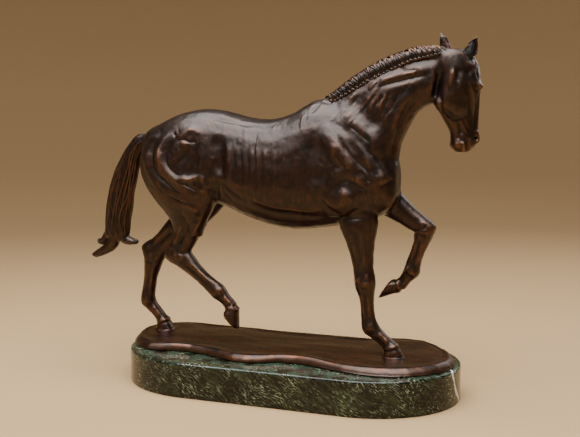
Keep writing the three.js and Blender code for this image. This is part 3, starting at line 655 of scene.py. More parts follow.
def casting_mesh(voxel, most_triangles):
    """The CAD casting, evened out, modelled and marked for its patina."""
    source = bpy.data.objects.new("casting", CASTING.data.copy())
    bpy.context.scene.collection.objects.link(source)
    source.modifiers.new("Weld", "WELD").merge_threshold = 0.00001
    remesh = source.modifiers.new("Remesh", "REMESH")
    remesh.mode, remesh.voxel_size = "VOXEL", voxel * MM
    skin = Skin(applied(source))
    fineness = (0.8 / voxel) ** 2  # the numbers of passes below suit 0.8 mm
    skin.fair(max(8, int(90 * fineness)), skin.soften(give_of(skin.points), 6))
    passes = max(4, int(24 * fineness))
    skin.points = skin.soften(skin.points, passes, blunt_of(skin.points))

    skin.facing = skin.normals()
    tree = cad_surface()
    for carve in (carve_body, carve_touches, carve_legs, carve_head):
        carve(skin, tree)
    horse = ease(*PLATE_TO_HORSE, skin.points[:, 2])
    roughen(skin, horse)
    hollow_ears(skin)
    skin.points += skin.facing * skin.soften(skin.lift, 1)[:, None]
    skin.points[:, 2] = np.maximum(skin.points[:, 2], PLATE_FOOT)
    paint_patina(skin, horse, fineness)

    thing = bpy.data.objects.new("casting", skin.mesh)
    bpy.context.scene.collection.objects.link(thing)
    fewer = thing.modifiers.new("Decimate", "DECIMATE")
    fewer.ratio = min(1.0, most_triangles / (2 * len(skin.mesh.polygons)))
    mesh = applied(thing)
    mesh.shade_smooth()
    return mesh


# ------------------------------------------------------------------ nodes
def add(tree, kind, inputs=None, pick=None, stops=None, **settings):
    """Adds a node with its settings, its colour stops and its inputs, each a value or a socket to
    link. Returns its output, the one named pick if it has several."""
    place = len(tree.nodes)
    node = tree.nodes.new(kind)
    node.location = (220 * (place % 10), -260 * (place // 10))
    for key, value in settings.items():
        setattr(node, key, value)
    for k, (position, colour) in enumerate(stops or []):
        elements = node.color_ramp.elements
        element = elements[k] if k < len(elements) else elements.new(position)
        element.position, element.color = position, colour
    for key, value in (inputs or {}).items():
        if isinstance(key, int):
            socket = node.inputs[key]
        else:
            socket = next(s for s in node.inputs if s.name == key and s.enabled)
        if isinstance(value, bpy.types.NodeSocket):
            tree.links.new(value, socket)
        else:
            socket.default_value = value
    outputs = [s for s in node.outputs if s.enabled]
    return next((s for s in outputs if pick in (None, s.name)), node)


def grey(value):
    return (value, value, value, 1.0)


def blank_material(name):
    """A new material, its empty node tree, and the place that its patterns read."""
    material = bpy.data.materials.new(name)
    material.use_nodes = True
    tree = material.node_tree
    tree.nodes.clear()
    return material, tree, add(tree, "ShaderNodeTexCoord", pick="Object")


def blank_group(name, **sockets):
    """A new Geometry Nodes tree with these named inputs beside its geometry, and its inputs."""
    tree = bpy.data.node_groups.new(name, "GeometryNodeTree")
    for key, kind in {"Geometry": "Geometry", **sockets}.items():
        tree.interface.new_socket(name=key, in_out="INPUT", socket_type=f"NodeSocket{kind}")
    tree.interface.new_socket(name="Geometry", in_out="OUTPUT", socket_type="NodeSocketGeometry")
    return tree, tree.nodes.new("NodeGroupInput").outputs


def close_group(tree, geometry, material):
    """Ends a Geometry Nodes tree: makes its instances real and gives them their material."""
    whole = add(tree, "GeometryNodeRealizeInstances", {"Geometry": geometry})
    done = add(tree, "GeometryNodeSetMaterial", {"Geometry": whole, "Material": material})
    add(tree, "NodeGroupOutput", {"Geometry": done})
    return tree


# ------------------------------------------------------------------ finishes
def bronze_material(finish):
    """Cast bronze, torch-coloured and waxed: near black where the patina pooled in the hollows and
    with painted shade in the ears and where the hair meets the body, rubbed to gold-brown on the high
    places, with a painted warm reflection on the sides and undersides, and a soft wax gloss over all."""
    material, tree, place = blank_material("waxed brown bronze")
    hollow, worn, shade, ground = (
        add(tree, "ShaderNodeAttribute", pick="Fac", attribute_name=name)
        for name in ("hollow", "worn", "shade", "ground"))
    # Broad clouds where the torch coloured the metal unevenly.
    clouds = add(tree, "ShaderNodeTexNoise",
                 {"Vector": place, "Scale": grain(34), "Detail": 3.0, "Roughness": 0.6}, pick="Fac")
    patches = add(tree, "ShaderNodeTexNoise",
                  {"Vector": place, "Scale": grain(7), "Detail": 4.0, "Roughness": 0.65}, pick="Fac")
    speck = add(tree, "ShaderNodeTexNoise", {"Vector": place, "Scale": grain(1.6), "Detail": 2.0},
                pick="Fac")
    cloud = add(tree, "ShaderNodeValToRGB", {"Fac": clouds}, stops=[(0.38, grey(0)), (0.66, grey(1))])
    body = add(tree, "ShaderNodeMix", {"Factor": cloud, "A": finish.brown, "B": finish.red_brown},
               data_type="RGBA")
    # A painted warm reflection on the flanks, legs and under the belly, in patches, where the surface
    # faces sideways or down.
    patch = add(tree, "ShaderNodeValToRGB", {"Fac": patches}, stops=[(0.42, grey(0)), (0.68, grey(1))])
    side = add(tree, "ShaderNodeMath", {0: shade, 1: patch}, operation="MULTIPLY")
    side = add(tree, "ShaderNodeMath", {0: side, 1: 0.48}, operation="MULTIPLY")
    with_warm_reflection = add(tree, "ShaderNodeMix", {"Factor": side, "A": body, "B": finish.gold}, data_type="RGBA")
    rub = add(tree, "ShaderNodeMath", {0: worn, 1: 0.9}, operation="MULTIPLY")
    rub = add(tree, "ShaderNodeMath", {0: rub, 1: patches}, operation="MULTIPLY")
    rubbed = add(tree, "ShaderNodeMix", {"Factor": rub, "A": with_warm_reflection, "B": finish.rubbed},
                 data_type="RGBA")
    # The ground plate is redder, in long strokes of the brush.
    strokes = add(tree, "ShaderNodeMapping",
                  {"Vector": place, "Scale": (7.0, 1.0, 1.0), "Rotation": (0.0, 0.0, math.radians(-6))},
                  vector_type="TEXTURE")
    brushed = add(tree, "ShaderNodeTexNoise", {"Vector": strokes, "Scale": grain(3.5), "Detail": 4.0},
                  pick="Fac")
    stroke = add(tree, "ShaderNodeValToRGB", {"Fac": brushed},
                 stops=[(0.4, finish.dark), (0.66, finish.plate)])
    earth = add(tree, "ShaderNodeMix", {"Factor": ground, "A": rubbed, "B": stroke}, data_type="RGBA")
    # Patina that ran down the legs and flanks.
    falls = add(tree, "ShaderNodeMapping", {"Vector": place, "Scale": (1.0, 1.0, 5.0)},
                vector_type="TEXTURE")
    runs = add(tree, "ShaderNodeTexNoise",
               {"Vector": falls, "Scale": grain(3.2), "Detail": 3.0, "Roughness": 0.6}, pick="Fac")
    run = add(tree, "ShaderNodeValToRGB", {"Fac": runs}, stops=[(0.46, grey(0)), (0.62, grey(1))])
    run = add(tree, "ShaderNodeMath", {0: run, 1: shade}, operation="MULTIPLY")
    run = add(tree, "ShaderNodeMath", {0: run, 1: 0.6}, operation="MULTIPLY")
    # Patina pooled in the hollows, and its runs, darken towards the dark colour; in the ears and where
    # the hair meets the body this darkening is painted shade.
    deep = add(tree, "ShaderNodeMath", {0: hollow, 1: 1.1, 2: run}, operation="MULTIPLY_ADD",
               use_clamp=True)
    colour = add(tree, "ShaderNodeMix", {"Factor": deep, "A": earth, "B": finish.dark},
                 data_type="RGBA")
    # The wax is thinner on the rubbed places and left dull in the hollows.
    base = add(tree, "ShaderNodeMapRange", {"Value": patches, "From Min": 0.3, "From Max": 0.7,
                                            "To Min": 0.34, "To Max": 0.5}, pick="Result")
    base = add(tree, "ShaderNodeMath", {0: ground, 1: -0.1, 2: base}, operation="MULTIPLY_ADD")
    dull = add(tree, "ShaderNodeMath", {0: hollow, 1: 0.22, 2: base}, operation="MULTIPLY_ADD",
               use_clamp=True)
    # Fine modelling strokes, and the grain of the cast metal. The real grain is about 0.4 mm,
    # too fine to show, so it is drawn at 1.6 mm.
    height = add(tree, "ShaderNodeMath", {0: patches, 1: 0.7}, operation="MULTIPLY")
    height = add(tree, "ShaderNodeMath", {0: speck, 1: 0.22, 2: height}, operation="MULTIPLY_ADD")
    bump = add(tree, "ShaderNodeBump", {"Height": height, "Strength": 0.75, "Distance": 0.0006})
    shader = add(tree, "ShaderNodeBsdfPrincipled", {
        "Base Color": colour, "Metallic": 0.85, "Roughness": dull, "Normal": bump,
        "Coat Weight": finish.wax, "Coat Roughness": 0.36, "Coat IOR": 1.5,
    })
    add(tree, "ShaderNodeOutputMaterial", {"Surface": shader})
    return material


SEAM_AT = 187.0  # mm along the plinth, where its white seam crosses


def marble_material(stone):
    """Sawn and polished serpentine marble: near-black green crowded with pale slanting flecks,
    crossed by one white seam, and smooth enough to mirror softly."""
    material, tree, place = blank_material("polished green marble")
    warp = add(tree, "ShaderNodeTexNoise", {"Vector": place, "Scale": grain(30), "Detail": 1.0},
               pick="Color")
    bend = add(tree, "ShaderNodeMix", {"Factor": 0.014, "A": place, "B": warp}, data_type="VECTOR")
    # Flecks slant down towards the horse's front, with a few that cross them. Each is about 1 mm
    # thick and 3 to 6 mm long.
    slant = add(tree, "ShaderNodeMapping",
                {"Vector": bend, "Rotation": (0.0, math.radians(34), math.radians(12)),
                 "Scale": (6.5, 3.0, 1.0)}, vector_type="TEXTURE")
    cross = add(tree, "ShaderNodeMapping",
                {"Vector": bend, "Rotation": (0.0, math.radians(-38), math.radians(-20)),
                 "Scale": (5.0, 2.5, 1.0)}, vector_type="TEXTURE")
    fine = add(tree, "ShaderNodeTexNoise",
               {"Vector": slant, "Scale": grain(0.95), "Detail": 3.0, "Roughness": 0.55}, pick="Fac")
    crossing = add(tree, "ShaderNodeTexNoise",
                   {"Vector": cross, "Scale": grain(1.1), "Detail": 3.0, "Roughness": 0.6}, pick="Fac")
    streaks = add(tree, "ShaderNodeTexNoise",
                  {"Vector": slant, "Scale": grain(6), "Detail": 4.0, "Roughness": 0.6}, pick="Fac")
    clouds = add(tree, "ShaderNodeTexNoise", {"Vector": bend, "Scale": grain(24), "Detail": 3.0},
                 pick="Fac")
    cloud = add(tree, "ShaderNodeValToRGB", {"Fac": clouds},
                stops=[(0.38, stone.deep), (0.64, stone.green)])
    streak = add(tree, "ShaderNodeValToRGB", {"Fac": streaks}, stops=[(0.48, grey(0)), (0.62, grey(1))])
    streaked = add(tree, "ShaderNodeMix", {"Factor": streak, "A": cloud, "B": stone.moss},
                   data_type="RGBA")
    thick = add(tree, "ShaderNodeMapRange", {"Value": clouds, "From Min": 0.38, "From Max": 0.62,
                                             "To Min": 0.15, "To Max": 1.0}, pick="Result")
    fleck = add(tree, "ShaderNodeValToRGB", {"Fac": fine}, stops=[(0.56, grey(0)), (0.7, grey(1))])
    crossed = add(tree, "ShaderNodeValToRGB", {"Fac": crossing},
                  stops=[(0.62, grey(0)), (0.7, grey(0.6))])
    either = add(tree, "ShaderNodeMath", {0: fleck, 1: crossed}, operation="MAXIMUM")
    flecks = add(tree, "ShaderNodeMath", {0: either, 1: thick}, operation="MULTIPLY")
    flecked = add(tree, "ShaderNodeMix", {"Factor": flecks, "A": streaked, "B": stone.fleck},
                  data_type="RGBA")
    # A painted reflection: the polished top is given a colder, lighter green than the sides, in its
    # streaks.
    facing = add(tree, "ShaderNodeNewGeometry", pick="Normal")
    upward = add(tree, "ShaderNodeSeparateXYZ", {"Vector": facing}, pick="Z")
    upward = add(tree, "ShaderNodeMath", {0: upward, 1: streak}, operation="MULTIPLY", use_clamp=True)
    upward = add(tree, "ShaderNodeMath", {0: upward, 1: 0.45}, operation="MULTIPLY")
    with_top_reflection = add(tree, "ShaderNodeMix", {"Factor": upward, "A": flecked, "B": stone.painted_top_reflection},
                 data_type="RGBA")
    # One white seam where the rock cracked and healed, across the front end.
    sheet = add(tree, "ShaderNodeVectorMath", {0: bend, 1: (0.9, 0.42, 0.32)}, pick="Value",
                operation="DOT_PRODUCT")
    sheet = add(tree, "ShaderNodeMath", {0: sheet, 1: -SEAM_AT * MM}, operation="ADD")
    sheet = add(tree, "ShaderNodeMath", {0: sheet}, operation="ABSOLUTE")
    seam = add(tree, "ShaderNodeMapRange", {"Value": sheet, "From Min": 0.0005, "From Max": 0.0014,
                                            "To Min": 0.9, "To Max": 0.0}, pick="Result")
    seam = add(tree, "ShaderNodeMath", {0: seam, 1: streaks}, operation="MULTIPLY")
    seam = add(tree, "ShaderNodeMath", {0: seam, 1: 1.8}, operation="MULTIPLY", use_clamp=True)
    colour = add(tree, "ShaderNodeMix", {"Factor": seam, "A": with_top_reflection, "B": stone.thread},
                 data_type="RGBA")
    polish = add(tree, "ShaderNodeMapRange", {"Value": flecks, "To Min": 0.14, "To Max": 0.3},
                 pick="Result")
    bump = add(tree, "ShaderNodeBump", {"Height": fine, "Strength": 0.12, "Distance": 0.0003})
    # Less than calcite's 1.49, for a polish that mirrors no more than the real one.
    shader = add(tree, "ShaderNodeBsdfPrincipled", {
        "Base Color": colour, "Roughness": polish, "Normal": bump, "IOR": 1.36,
    })
    add(tree, "ShaderNodeOutputMaterial", {"Surface": shader})
    return material


def paper_material(stage):
    """Pressed matt card, pale and without gloss. Its tooth, really 0.3 mm, is drawn at 3 mm."""
    material, tree, place = blank_material("pale studio card")
    tooth = add(tree, "ShaderNodeTexNoise", {"Vector": place, "Scale": grain(3), "Detail": 2.0},
                pick="Fac")
    bump = add(tree, "ShaderNodeBump", {"Height": tooth, "Strength": 0.08, "Distance": 0.0003})
    shader = add(tree, "ShaderNodeBsdfPrincipled",
                 {"Base Color": stage.floor, "Roughness": 0.8, "Normal": bump})
    add(tree, "ShaderNodeOutputMaterial", {"Surface": shader})
    return material


def bronze(context):
    """The bronze that the casting, the mane and the tail share, made once."""
    made = bpy.data.materials.get("waxed brown bronze")
    return made or bronze_material(context.scene.horse_bronze)


# ------------------------------------------------------------------ hair
def strands_tree(material):
    """Thick strands of modelled hair along the lines it is given. Inputs: Girth, Sides."""
    tree, group = blank_group("modelled strands", Girth="Float", Sides="Int")
    lines = add(tree, "GeometryNodeMeshToCurve", {"Mesh": group["Geometry"]})
    profile = add(tree, "GeometryNodeCurvePrimitiveCircle",
                  {"Resolution": group["Sides"], "Radius": 1.0})
    share = add(tree, "GeometryNodeInputNamedAttribute", {"Name": "girth"}, pick="Attribute",
                data_type="FLOAT")
    girth = add(tree, "ShaderNodeMath", {0: share, 1: group["Girth"]}, operation="MULTIPLY")
    tube = add(tree, "GeometryNodeCurveToMesh",
               {"Curve": lines, "Profile Curve": profile, "Scale": girth, "Fill Caps": True})
    return close_group(tree, add(tree, "GeometryNodeSetShadeSmooth", {"Geometry": tube}), material)


def plait_tree(material):
    """A running plait: short locks at each point of a line, leaning one way and the other in turn.
    Inputs: Length, Girth, Lean, Seed."""
    tree, group = blank_group("running plait", Length="Float", Girth="Float", Lean="Float", Seed="Int")
    # One lock, bowed away from the neck, along its own X.
    back, front, bow = (
        add(tree, "ShaderNodeMath", {0: group["Length"], 1: share}, operation="MULTIPLY")
        for share in (-0.5, 0.5, 0.42))
    start = add(tree, "ShaderNodeCombineXYZ", {"X": back})
    middle = add(tree, "ShaderNodeCombineXYZ", {"Z": bow})
    end = add(tree, "ShaderNodeCombineXYZ", {"X": front})
    arc = add(tree, "GeometryNodeCurveQuadraticBezier",
              {"Resolution": 7, "Start": start, "Middle": middle, "End": end})
    along = add(tree, "GeometryNodeSplineParameter", pick="Factor")
    swell = add(tree, "ShaderNodeMath", {0: along, 1: math.pi}, operation="MULTIPLY")
    swell = add(tree, "ShaderNodeMath", {0: swell}, operation="SINE")
    swell = add(tree, "ShaderNodeMath", {0: swell, 1: 0.02}, operation="MAXIMUM")
    swell = add(tree, "ShaderNodeMath", {0: swell, 1: 0.5}, operation="POWER")
    girth = add(tree, "ShaderNodeMath", {0: swell, 1: group["Girth"]}, operation="MULTIPLY")
    profile = add(tree, "GeometryNodeCurvePrimitiveCircle", {"Resolution": 8, "Radius": 1.0})
    lock = add(tree, "GeometryNodeCurveToMesh",
               {"Curve": arc, "Profile Curve": profile, "Scale": girth, "Fill Caps": True})
    lock = add(tree, "GeometryNodeSetShadeSmooth", {"Geometry": lock})
    run = add(tree, "GeometryNodeInputNamedAttribute", {"Name": "run"}, pick="Attribute",
              data_type="FLOAT_VECTOR")
    lie = add(tree, "GeometryNodeInputNamedAttribute", {"Name": "lie"}, pick="Attribute",
              data_type="FLOAT_VECTOR")
    turn = add(tree, "FunctionNodeAlignRotationToVector", {"Vector": lie}, axis="Z")
    turn = add(tree, "FunctionNodeAlignRotationToVector", {"Rotation": turn, "Vector": run}, axis="X",
               pivot_axis="Z")
    # Every other lock leans the other way.
    index = add(tree, "GeometryNodeInputIndex")
    odd = add(tree, "ShaderNodeMath", {0: index, 1: 2.0}, operation="MODULO")
    way = add(tree, "ShaderNodeMath", {0: odd, 1: 2.0, 2: -1.0}, operation="MULTIPLY_ADD")
    chance = add(tree, "FunctionNodeRandomValue", {"Min": 0.75, "Max": 1.25, "Seed": group["Seed"]},
                 data_type="FLOAT")
    lean = add(tree, "ShaderNodeMath", {0: way, 1: group["Lean"]}, operation="MULTIPLY")
    lean = add(tree, "ShaderNodeMath", {0: lean, 1: chance}, operation="MULTIPLY")
    tip = add(tree, "ShaderNodeCombineXYZ", {"Z": lean})
    tip = add(tree, "FunctionNodeEulerToRotation", {"Euler": tip})
    turn = add(tree, "FunctionNodeRotateRotation", {"Rotation": turn, "Rotate By": tip},
               rotation_space="LOCAL")
    size = add(tree, "GeometryNodeInputNamedAttribute", {"Name": "size"}, pick="Attribute",
               data_type="FLOAT")
    size = add(tree, "ShaderNodeMath", {0: size, 1: chance}, operation="MULTIPLY")
    locks = add(tree, "GeometryNodeInstanceOnPoints",
                {"Points": group["Geometry"], "Instance": lock, "Rotation": turn, "Scale": size})
    return close_group(tree, locks, material)


def grown(name, points, joins, layers, tree, **inputs):
    """The mesh that a node tree makes from these points and lines, in mm, with their named layers."""
    mesh = bpy.data.meshes.new(name)
    mesh.from_pydata([tuple(p * MM) for p in points], joins, [])
    for key, values in layers.items():
        values = np.asarray(values, np.float32)
        kind, field = ("FLOAT_VECTOR", "vector") if values.ndim == 2 else ("FLOAT", "value")
        mesh.attributes.new(key, kind, "POINT").data.foreach_set(field, values.ravel())
    thing = bpy.data.objects.new(name, mesh)
    modifier = thing.modifiers.new(name, "NODES")
    modifier.node_group = tree
    for item in tree.interface.items_tree:
        key = item.name.lower()
        if item.in_out == "INPUT" and key in inputs:
            modifier[item.identifier] = inputs[key]
    bpy.context.scene.collection.objects.link(thing)
    return applied(thing)


def shade_strands(mesh, tree, dark, bright):
    """Paints shade on strands where they sink to the casting's surface, rubs them where they stand
    out, and gives them an even share of the painted warm reflection."""
    proud = []
    for place in map(Vector, places_of(mesh)):
        hit, normal, _, gap = tree.find_nearest(place)
        proud.append(gap / MM if (place - hit).dot(normal) > 0 else -gap / MM)
    proud = np.array(proud)
    # Painted shade where a strand sinks to the casting's surface.
    paint(mesh, "hollow", ease(dark[1], dark[0], proud))
    paint(mesh, "worn", ease(bright[0], bright[1], proud))
    # An even share of the painted warm reflection.
    paint(mesh, "shade", np.full(len(proud), 0.6))


def mane_place(x, tilt):
    """A place on the roll of the mane, this far round it from its right-hand side, and the way it
    faces. The roll lies to the right of the crest, less so towards the poll."""
    z, half, tall = (at(MANE, x, column) for column in (1, 2, 3))
    centre = np.array([x, 4 * max(0.0, (x - 36) / 146) ** 2 - 6, z])
    facing = np.array([0.0, -math.cos(tilt) * tall, math.sin(tilt) * half])
    place = centre + np.array([0.0, -half * math.cos(tilt), tall * math.sin(tilt)])
    return place, facing / np.linalg.norm(facing)


def plait_tilt(x):
    """How far round the roll the plait lies: low down near the withers, higher at the poll."""
    return math.radians(np.interp(x, [45, 60, 110, 150, 180], [-20, -38, -40, -30, -15]))


class Strands:
    """Lines of hair, as points in mm, the joins between them and how stout each point is."""

    def __init__(self):
        self.points, self.joins, self.girth = [], [], []

    def add_point(self, place, stout, first):
        if not first:
            self.joins.append((len(self.points) - 1, len(self.points)))
        self.points.append(place)
        self.girth.append(stout)

    def mesh(self, name, material, girth):
        return grown(name, self.points, self.joins, {"girth": self.girth}, strands_tree(material),
                     girth=girth, sides=8)


def combed_locks(count, seed):
    """Strands that come over the crest and down the right side to the plait, each leaning forward
    as it falls."""
    rng, strands = np.random.default_rng(seed), Strands()
    for x in np.linspace(47, 176, count):
        lean = rng.uniform(9, 18) * np.interp(x, [45, 60, 170, 180], [0.4, 1, 0.9, 0.3])
        start = math.radians(rng.uniform(100, 135))
        end = plait_tilt(x) + math.radians(rng.uniform(4, 14))
        stout = rng.uniform(0.7, 1.3) * np.interp(x, [45, 70, 160, 180], [0.7, 1, 0.8, 0.5])
        for share in np.arange(9) / 8:
            curl = 1.2 * math.sin(math.tau * share + x)
            place, facing = mane_place(x + lean * (share - 0.3) + curl, start + (end - start) * share)
            belly = math.sin(math.pi * min(0.97, share * 0.85 + 0.15)) ** 0.7
            proud = 0.1 + 0.25 * math.sin(math.pi * share)
            strands.add_point(place + facing * proud, stout * (0.35 + 0.65 * belly), share == 0)
    return strands


def plait_sites(count):
    """Points along the lower edge of the mane, with the way they run, the way they face and their
    size."""
    points, lie = [], []
    for x in np.linspace(46, 177, count):
        place, facing = mane_place(x, plait_tilt(x))
        points.append(place + facing * 0.2)
        lie.append(facing)
    points = np.array(points)
    run = np.gradient(points, axis=0)
    run /= np.linalg.norm(run, axis=1)[:, None]
    size = np.interp(points[:, 0], [45, 60, 110, 170, 178], [0.75, 1.0, 1.0, 0.85, 0.6])
    return points, run, np.array(lie), size


def tail_strands(count, seed):
    """Long strands down the tail, each wandering a little round it and starting and ending where
    it likes, and shorter ones round its three curled ends."""
    rng, strands = np.random.default_rng(seed), Strands()
    rows = np.array(TAIL, float)
    where = np.arange(len(rows), dtype=float)
    for k in range(count):
        angle = 2 * math.pi * (k + rng.uniform(-0.3, 0.3)) / count
        first = rng.uniform(0.0, 1.2) if k % 3 else rng.uniform(1.5, 4.0)
        last = rng.uniform(6.2, 8.0)
        sway, pace, start = rng.uniform(0.12, 0.4), rng.uniform(0.8, 1.6), rng.uniform(0, 6)
        stout = rng.uniform(0.75, 1.3)
        for share in np.arange(34) / 33:
            row = first + (last - first) * share
            x, z, ahead, half = (np.interp(row, where, column) for column in rows.T)
            before, after = max(row - 0.5, 0), min(row + 0.5, len(rows) - 1)
            run = np.array([np.interp(after, where, column) - np.interp(before, where, column)
                            for column in rows.T[:2]])
            run /= np.linalg.norm(run)
            turn = angle + sway * math.sin(pace * row + start) + 0.1 * row
            off = ahead * 0.95 * math.cos(turn)
            place = np.array([x - run[1] * off, half * 0.95 * math.sin(turn), z + run[0] * off])
            body = math.sin(math.pi * share) ** 0.5
            strands.add_point(place, stout * (0.3 + 0.7 * body), share == 0)
    for tip in TAIL_TIPS:
        path = smooth_path(tip, 2.0)
        run = np.gradient(path[:, :3], axis=0)
        run /= np.linalg.norm(run, axis=1)[:, None]
        out = np.cross(run, LEFTWARDS)
        for k in range(TIP_STRANDS):
            angle, sway = math.tau * k / TIP_STRANDS, rng.uniform(0.3, 0.8)
            for step, (*middle, thick) in enumerate(path):
                turn = angle + sway * math.sin(0.25 * step + angle)
                off = math.cos(turn) * out[step] + math.sin(turn) * LEFTWARDS
                stout = 0.95 * min(1.0, 0.35 + 0.12 * thick)
                strands.add_point(np.array(middle) + 0.72 * thick * off, stout, step == 0)
    return strands


# ------------------------------------------------------------------ the plinth
END_REACH = 106.0  # mm, how far each half ellipse reaches along the slab
END_STEPS = 72  # the flats round each end


def plinth_outline(inset):
    """The slab's plan: straight long sides between two half ellipses, in mm."""
    straight, half_width = PLINTH_HIGH.x / MM - END_REACH, PLINTH_HIGH.y / MM
    plan = []
    for end, start in ((1, -math.pi / 2), (-1, math.pi / 2)):
        for k in range(END_STEPS + 1):
            angle = start + math.pi * k / END_STEPS
            x = end * straight + (END_REACH - inset) * math.cos(angle)
            plan.append((x, (half_width - inset) * math.sin(angle)))
    return plan


def walls(rings, count):
    """Four-sided faces between so many rings of count points each."""
    return [(k * count + i, k * count + (i + 1) % count, (k + 1) * count + (i + 1) % count,
             (k + 1) * count + i) for k in range(rings - 1) for i in range(count)]


def plinth_mesh(rim, foot):
    """The slab, ring on ring: its bevelled foot, its straight wall and its rounded rim."""
    top = PLINTH_HIGH.z / MM
    levels = [(foot, 0.0), (foot * 0.3, foot * 0.3), (0.0, foot)]
    levels += [(0.0, foot + (top - rim - foot) * k / 6) for k in range(1, 7)]
    levels += [(rim * (1 - math.cos(turn)), top - rim * (1 - math.sin(turn)))
               for turn in np.linspace(0, math.pi / 2, 8)[1:]]
    points = [(x * MM, y * MM, z * MM) for inset, z in levels for x, y in plinth_outline(inset)]
    ring = 2 * (END_STEPS + 1)
    faces = walls(len(levels), ring)
    faces.append(tuple(reversed(range(ring))))
    faces.append(tuple(range((len(levels) - 1) * ring, len(levels) * ring)))
    mesh = bpy.data.meshes.new("plinth")
    mesh.from_pydata(points, [], faces)
    mesh.shade_smooth()
    mesh.polygons[-1].use_smooth = mesh.polygons[-2].use_smooth = False
    return mesh


# ------------------------------------------------------------------ what a user can change
def colour_property(name, description, code):
    return bpy.props.FloatVectorProperty(name=name, description=description, default=linear(code),
                                         subtype="COLOR", size=4, min=0, max=1)


def length_property(name, description, default, low, high):
    return bpy.props.FloatProperty(name=name, description=description, default=default,
                                   min=low, max=high, subtype="DISTANCE", unit="LENGTH")


def count_property(name, description, default, low, high):
    return bpy.props.IntProperty(name=name, description=description, default=default,
                                 min=low, max=high)


def power_property(name, description, default):
    return bpy.props.FloatProperty(name=name, description=description, default=default,
                                   min=0, max=500, subtype="POWER", unit="POWER")


class BronzeFinish(bpy.types.PropertyGroup):
    """The bronze's colours and its wax"""

    brown: colour_property("Brown", "The patina's main brown", "1b1009")
    red_brown: colour_property("Red-brown", "The warmer clouds in the patina", "2c170c")
    # A painted warm reflection, mixed in where the bronze faces sideways or down.
    gold: colour_property("Gold", "Where the gold shows through on the sides", "50290a")
    rubbed: colour_property("Rubbed", "High places that hands have rubbed", "7a4e2c")
    # Also the painted shade in the ears and where the hair meets the body.
    dark: colour_property("Dark", "Patina that pooled in the hollows", "0b0705")
    plate: colour_property("Ground", "The ground plate's lighter strokes", "5a2c0c")
    wax: bpy.props.FloatProperty(name="Wax", description="How thick the wax lies", default=0.5,
                                 min=0, max=1, subtype="FACTOR")


class CastingSizes(bpy.types.PropertyGroup):
    """How finely the casting is made"""

    voxel: bpy.props.FloatProperty(name="Grain", description="How fine the modelled surface is, in mm",
                                   default=0.8, min=0.5, max=3)
    triangles: count_property("Triangles", "The most triangles in the casting", 188000, 20000, 199000)


class HairSizes(bpy.types.PropertyGroup):
    """The hair of the mane and the tail"""

    locks: count_property("Mane locks", "Combed locks over the crest", 76, 10, 200)
    lock_girth: length_property("Lock girth", "Half the thickness of a combed lock",
                                0.0013, 0.0003, 0.004)
    plaits: count_property("Plait turns", "Turns of the running plait", 62, 10, 120)
    plait_length: length_property("Turn length", "Length of one turn of the plait",
                                  0.0054, 0.002, 0.015)
    plait_girth: length_property("Turn girth", "Half the thickness of one turn of the plait",
                                 0.0015, 0.0004, 0.004)
    plait_lean: bpy.props.FloatProperty(name="Turn lean",
                                        description="How far each turn of the plait leans",
                                        default=math.radians(52), min=0, max=math.pi / 2,
                                        subtype="ANGLE", unit="ROTATION")
    strands: count_property("Tail strands", "Strands down the tail", 44, 8, 120)
    strand_girth: length_property("Strand girth", "Half the thickness of a tail strand",
                                  0.0016, 0.0004, 0.004)


class MarbleFinish(bpy.types.PropertyGroup):
    """The marble's colours and the plinth's edges"""

    deep: colour_property("Deep green", "The rock's darkest green", "0a0906")
    green: colour_property("Green", "The rock's lighter clouds", "14170e")
    moss: colour_property("Moss", "Slanting streaks", "222a18")
    fleck: colour_property("Fleck", "Pale flecks", "9aa687")
    # Painted reflection on the polished top, a colder green than the sides.
    painted_top_reflection: colour_property("Teal", "The colder green of the top", "2a4a42")
    thread: colour_property("Seam", "The white seam", "e4e6dc")
    rim: length_property("Rim", "Radius of the polished top edge", 0.0028, 0.0002, 0.01)
    foot: length_property("Foot", "Bevel of the bottom edge", 0.0008, 0.0001, 0.004)


class StageSettings(bpy.types.PropertyGroup):
    """The card and the lights"""

    floor: colour_property("Floor", "The card under the plinth", "a5875f")
    overhead: power_property("Overhead light", "Power of the soft light above", 88)
    front: power_property("Front light", "Power of the soft light beside the camera", 1.5)
    back: power_property("Back light", "Power of the soft light behind", 5)
    sky: bpy.props.FloatProperty(name="Room light",
                                 description="Strength of the even light from all round", default=0.2,
                                 min=0, max=5)


class HORSE_OT_casting(bpy.types.Operator):
    """Model the horse and its ground plate, one bronze casting"""
    bl_idname = "bronze_horse.casting"
    bl_label = "Casting"

    def execute(self, context):
        sizes = context.scene.horse_casting
        voxel = sizes.voxel
        mesh = casting_mesh(voxel, sizes.triangles)
        mesh.materials.clear()
        mesh.materials.append(bronze(context))
        stand("horse_casting", mesh, "bronze_horse")
        return {"FINISHED"}


class HORSE_OT_mane(bpy.types.Operator):
    """Model the combed locks and the running plait of the mane"""
    bl_idname = "bronze_horse.mane"
    bl_label = "Plaited mane"

    def execute(self, context):
        sizes, material, surface = context.scene.horse_hair, bronze(context), cad_surface()
        locks = combed_locks(sizes.locks, 5).mesh("mane_locks", material, sizes.lock_girth)
        shade_strands(locks, surface, (0.0, 0.9), (0.9, 1.6))
        stand("mane_locks", locks, "bronze_horse")
        points, run, lie, size = plait_sites(sizes.plaits)
        plait = grown("mane_plait", points, [], {"run": run, "lie": lie, "size": size},
                      plait_tree(material), length=sizes.plait_length, girth=sizes.plait_girth,
                      lean=sizes.plait_lean, seed=7)
        shade_strands(plait, surface, (0.0, 1.2), (1.2, 2.6))
        stand("mane_plait", plait, "bronze_horse")
        return {"FINISHED"}


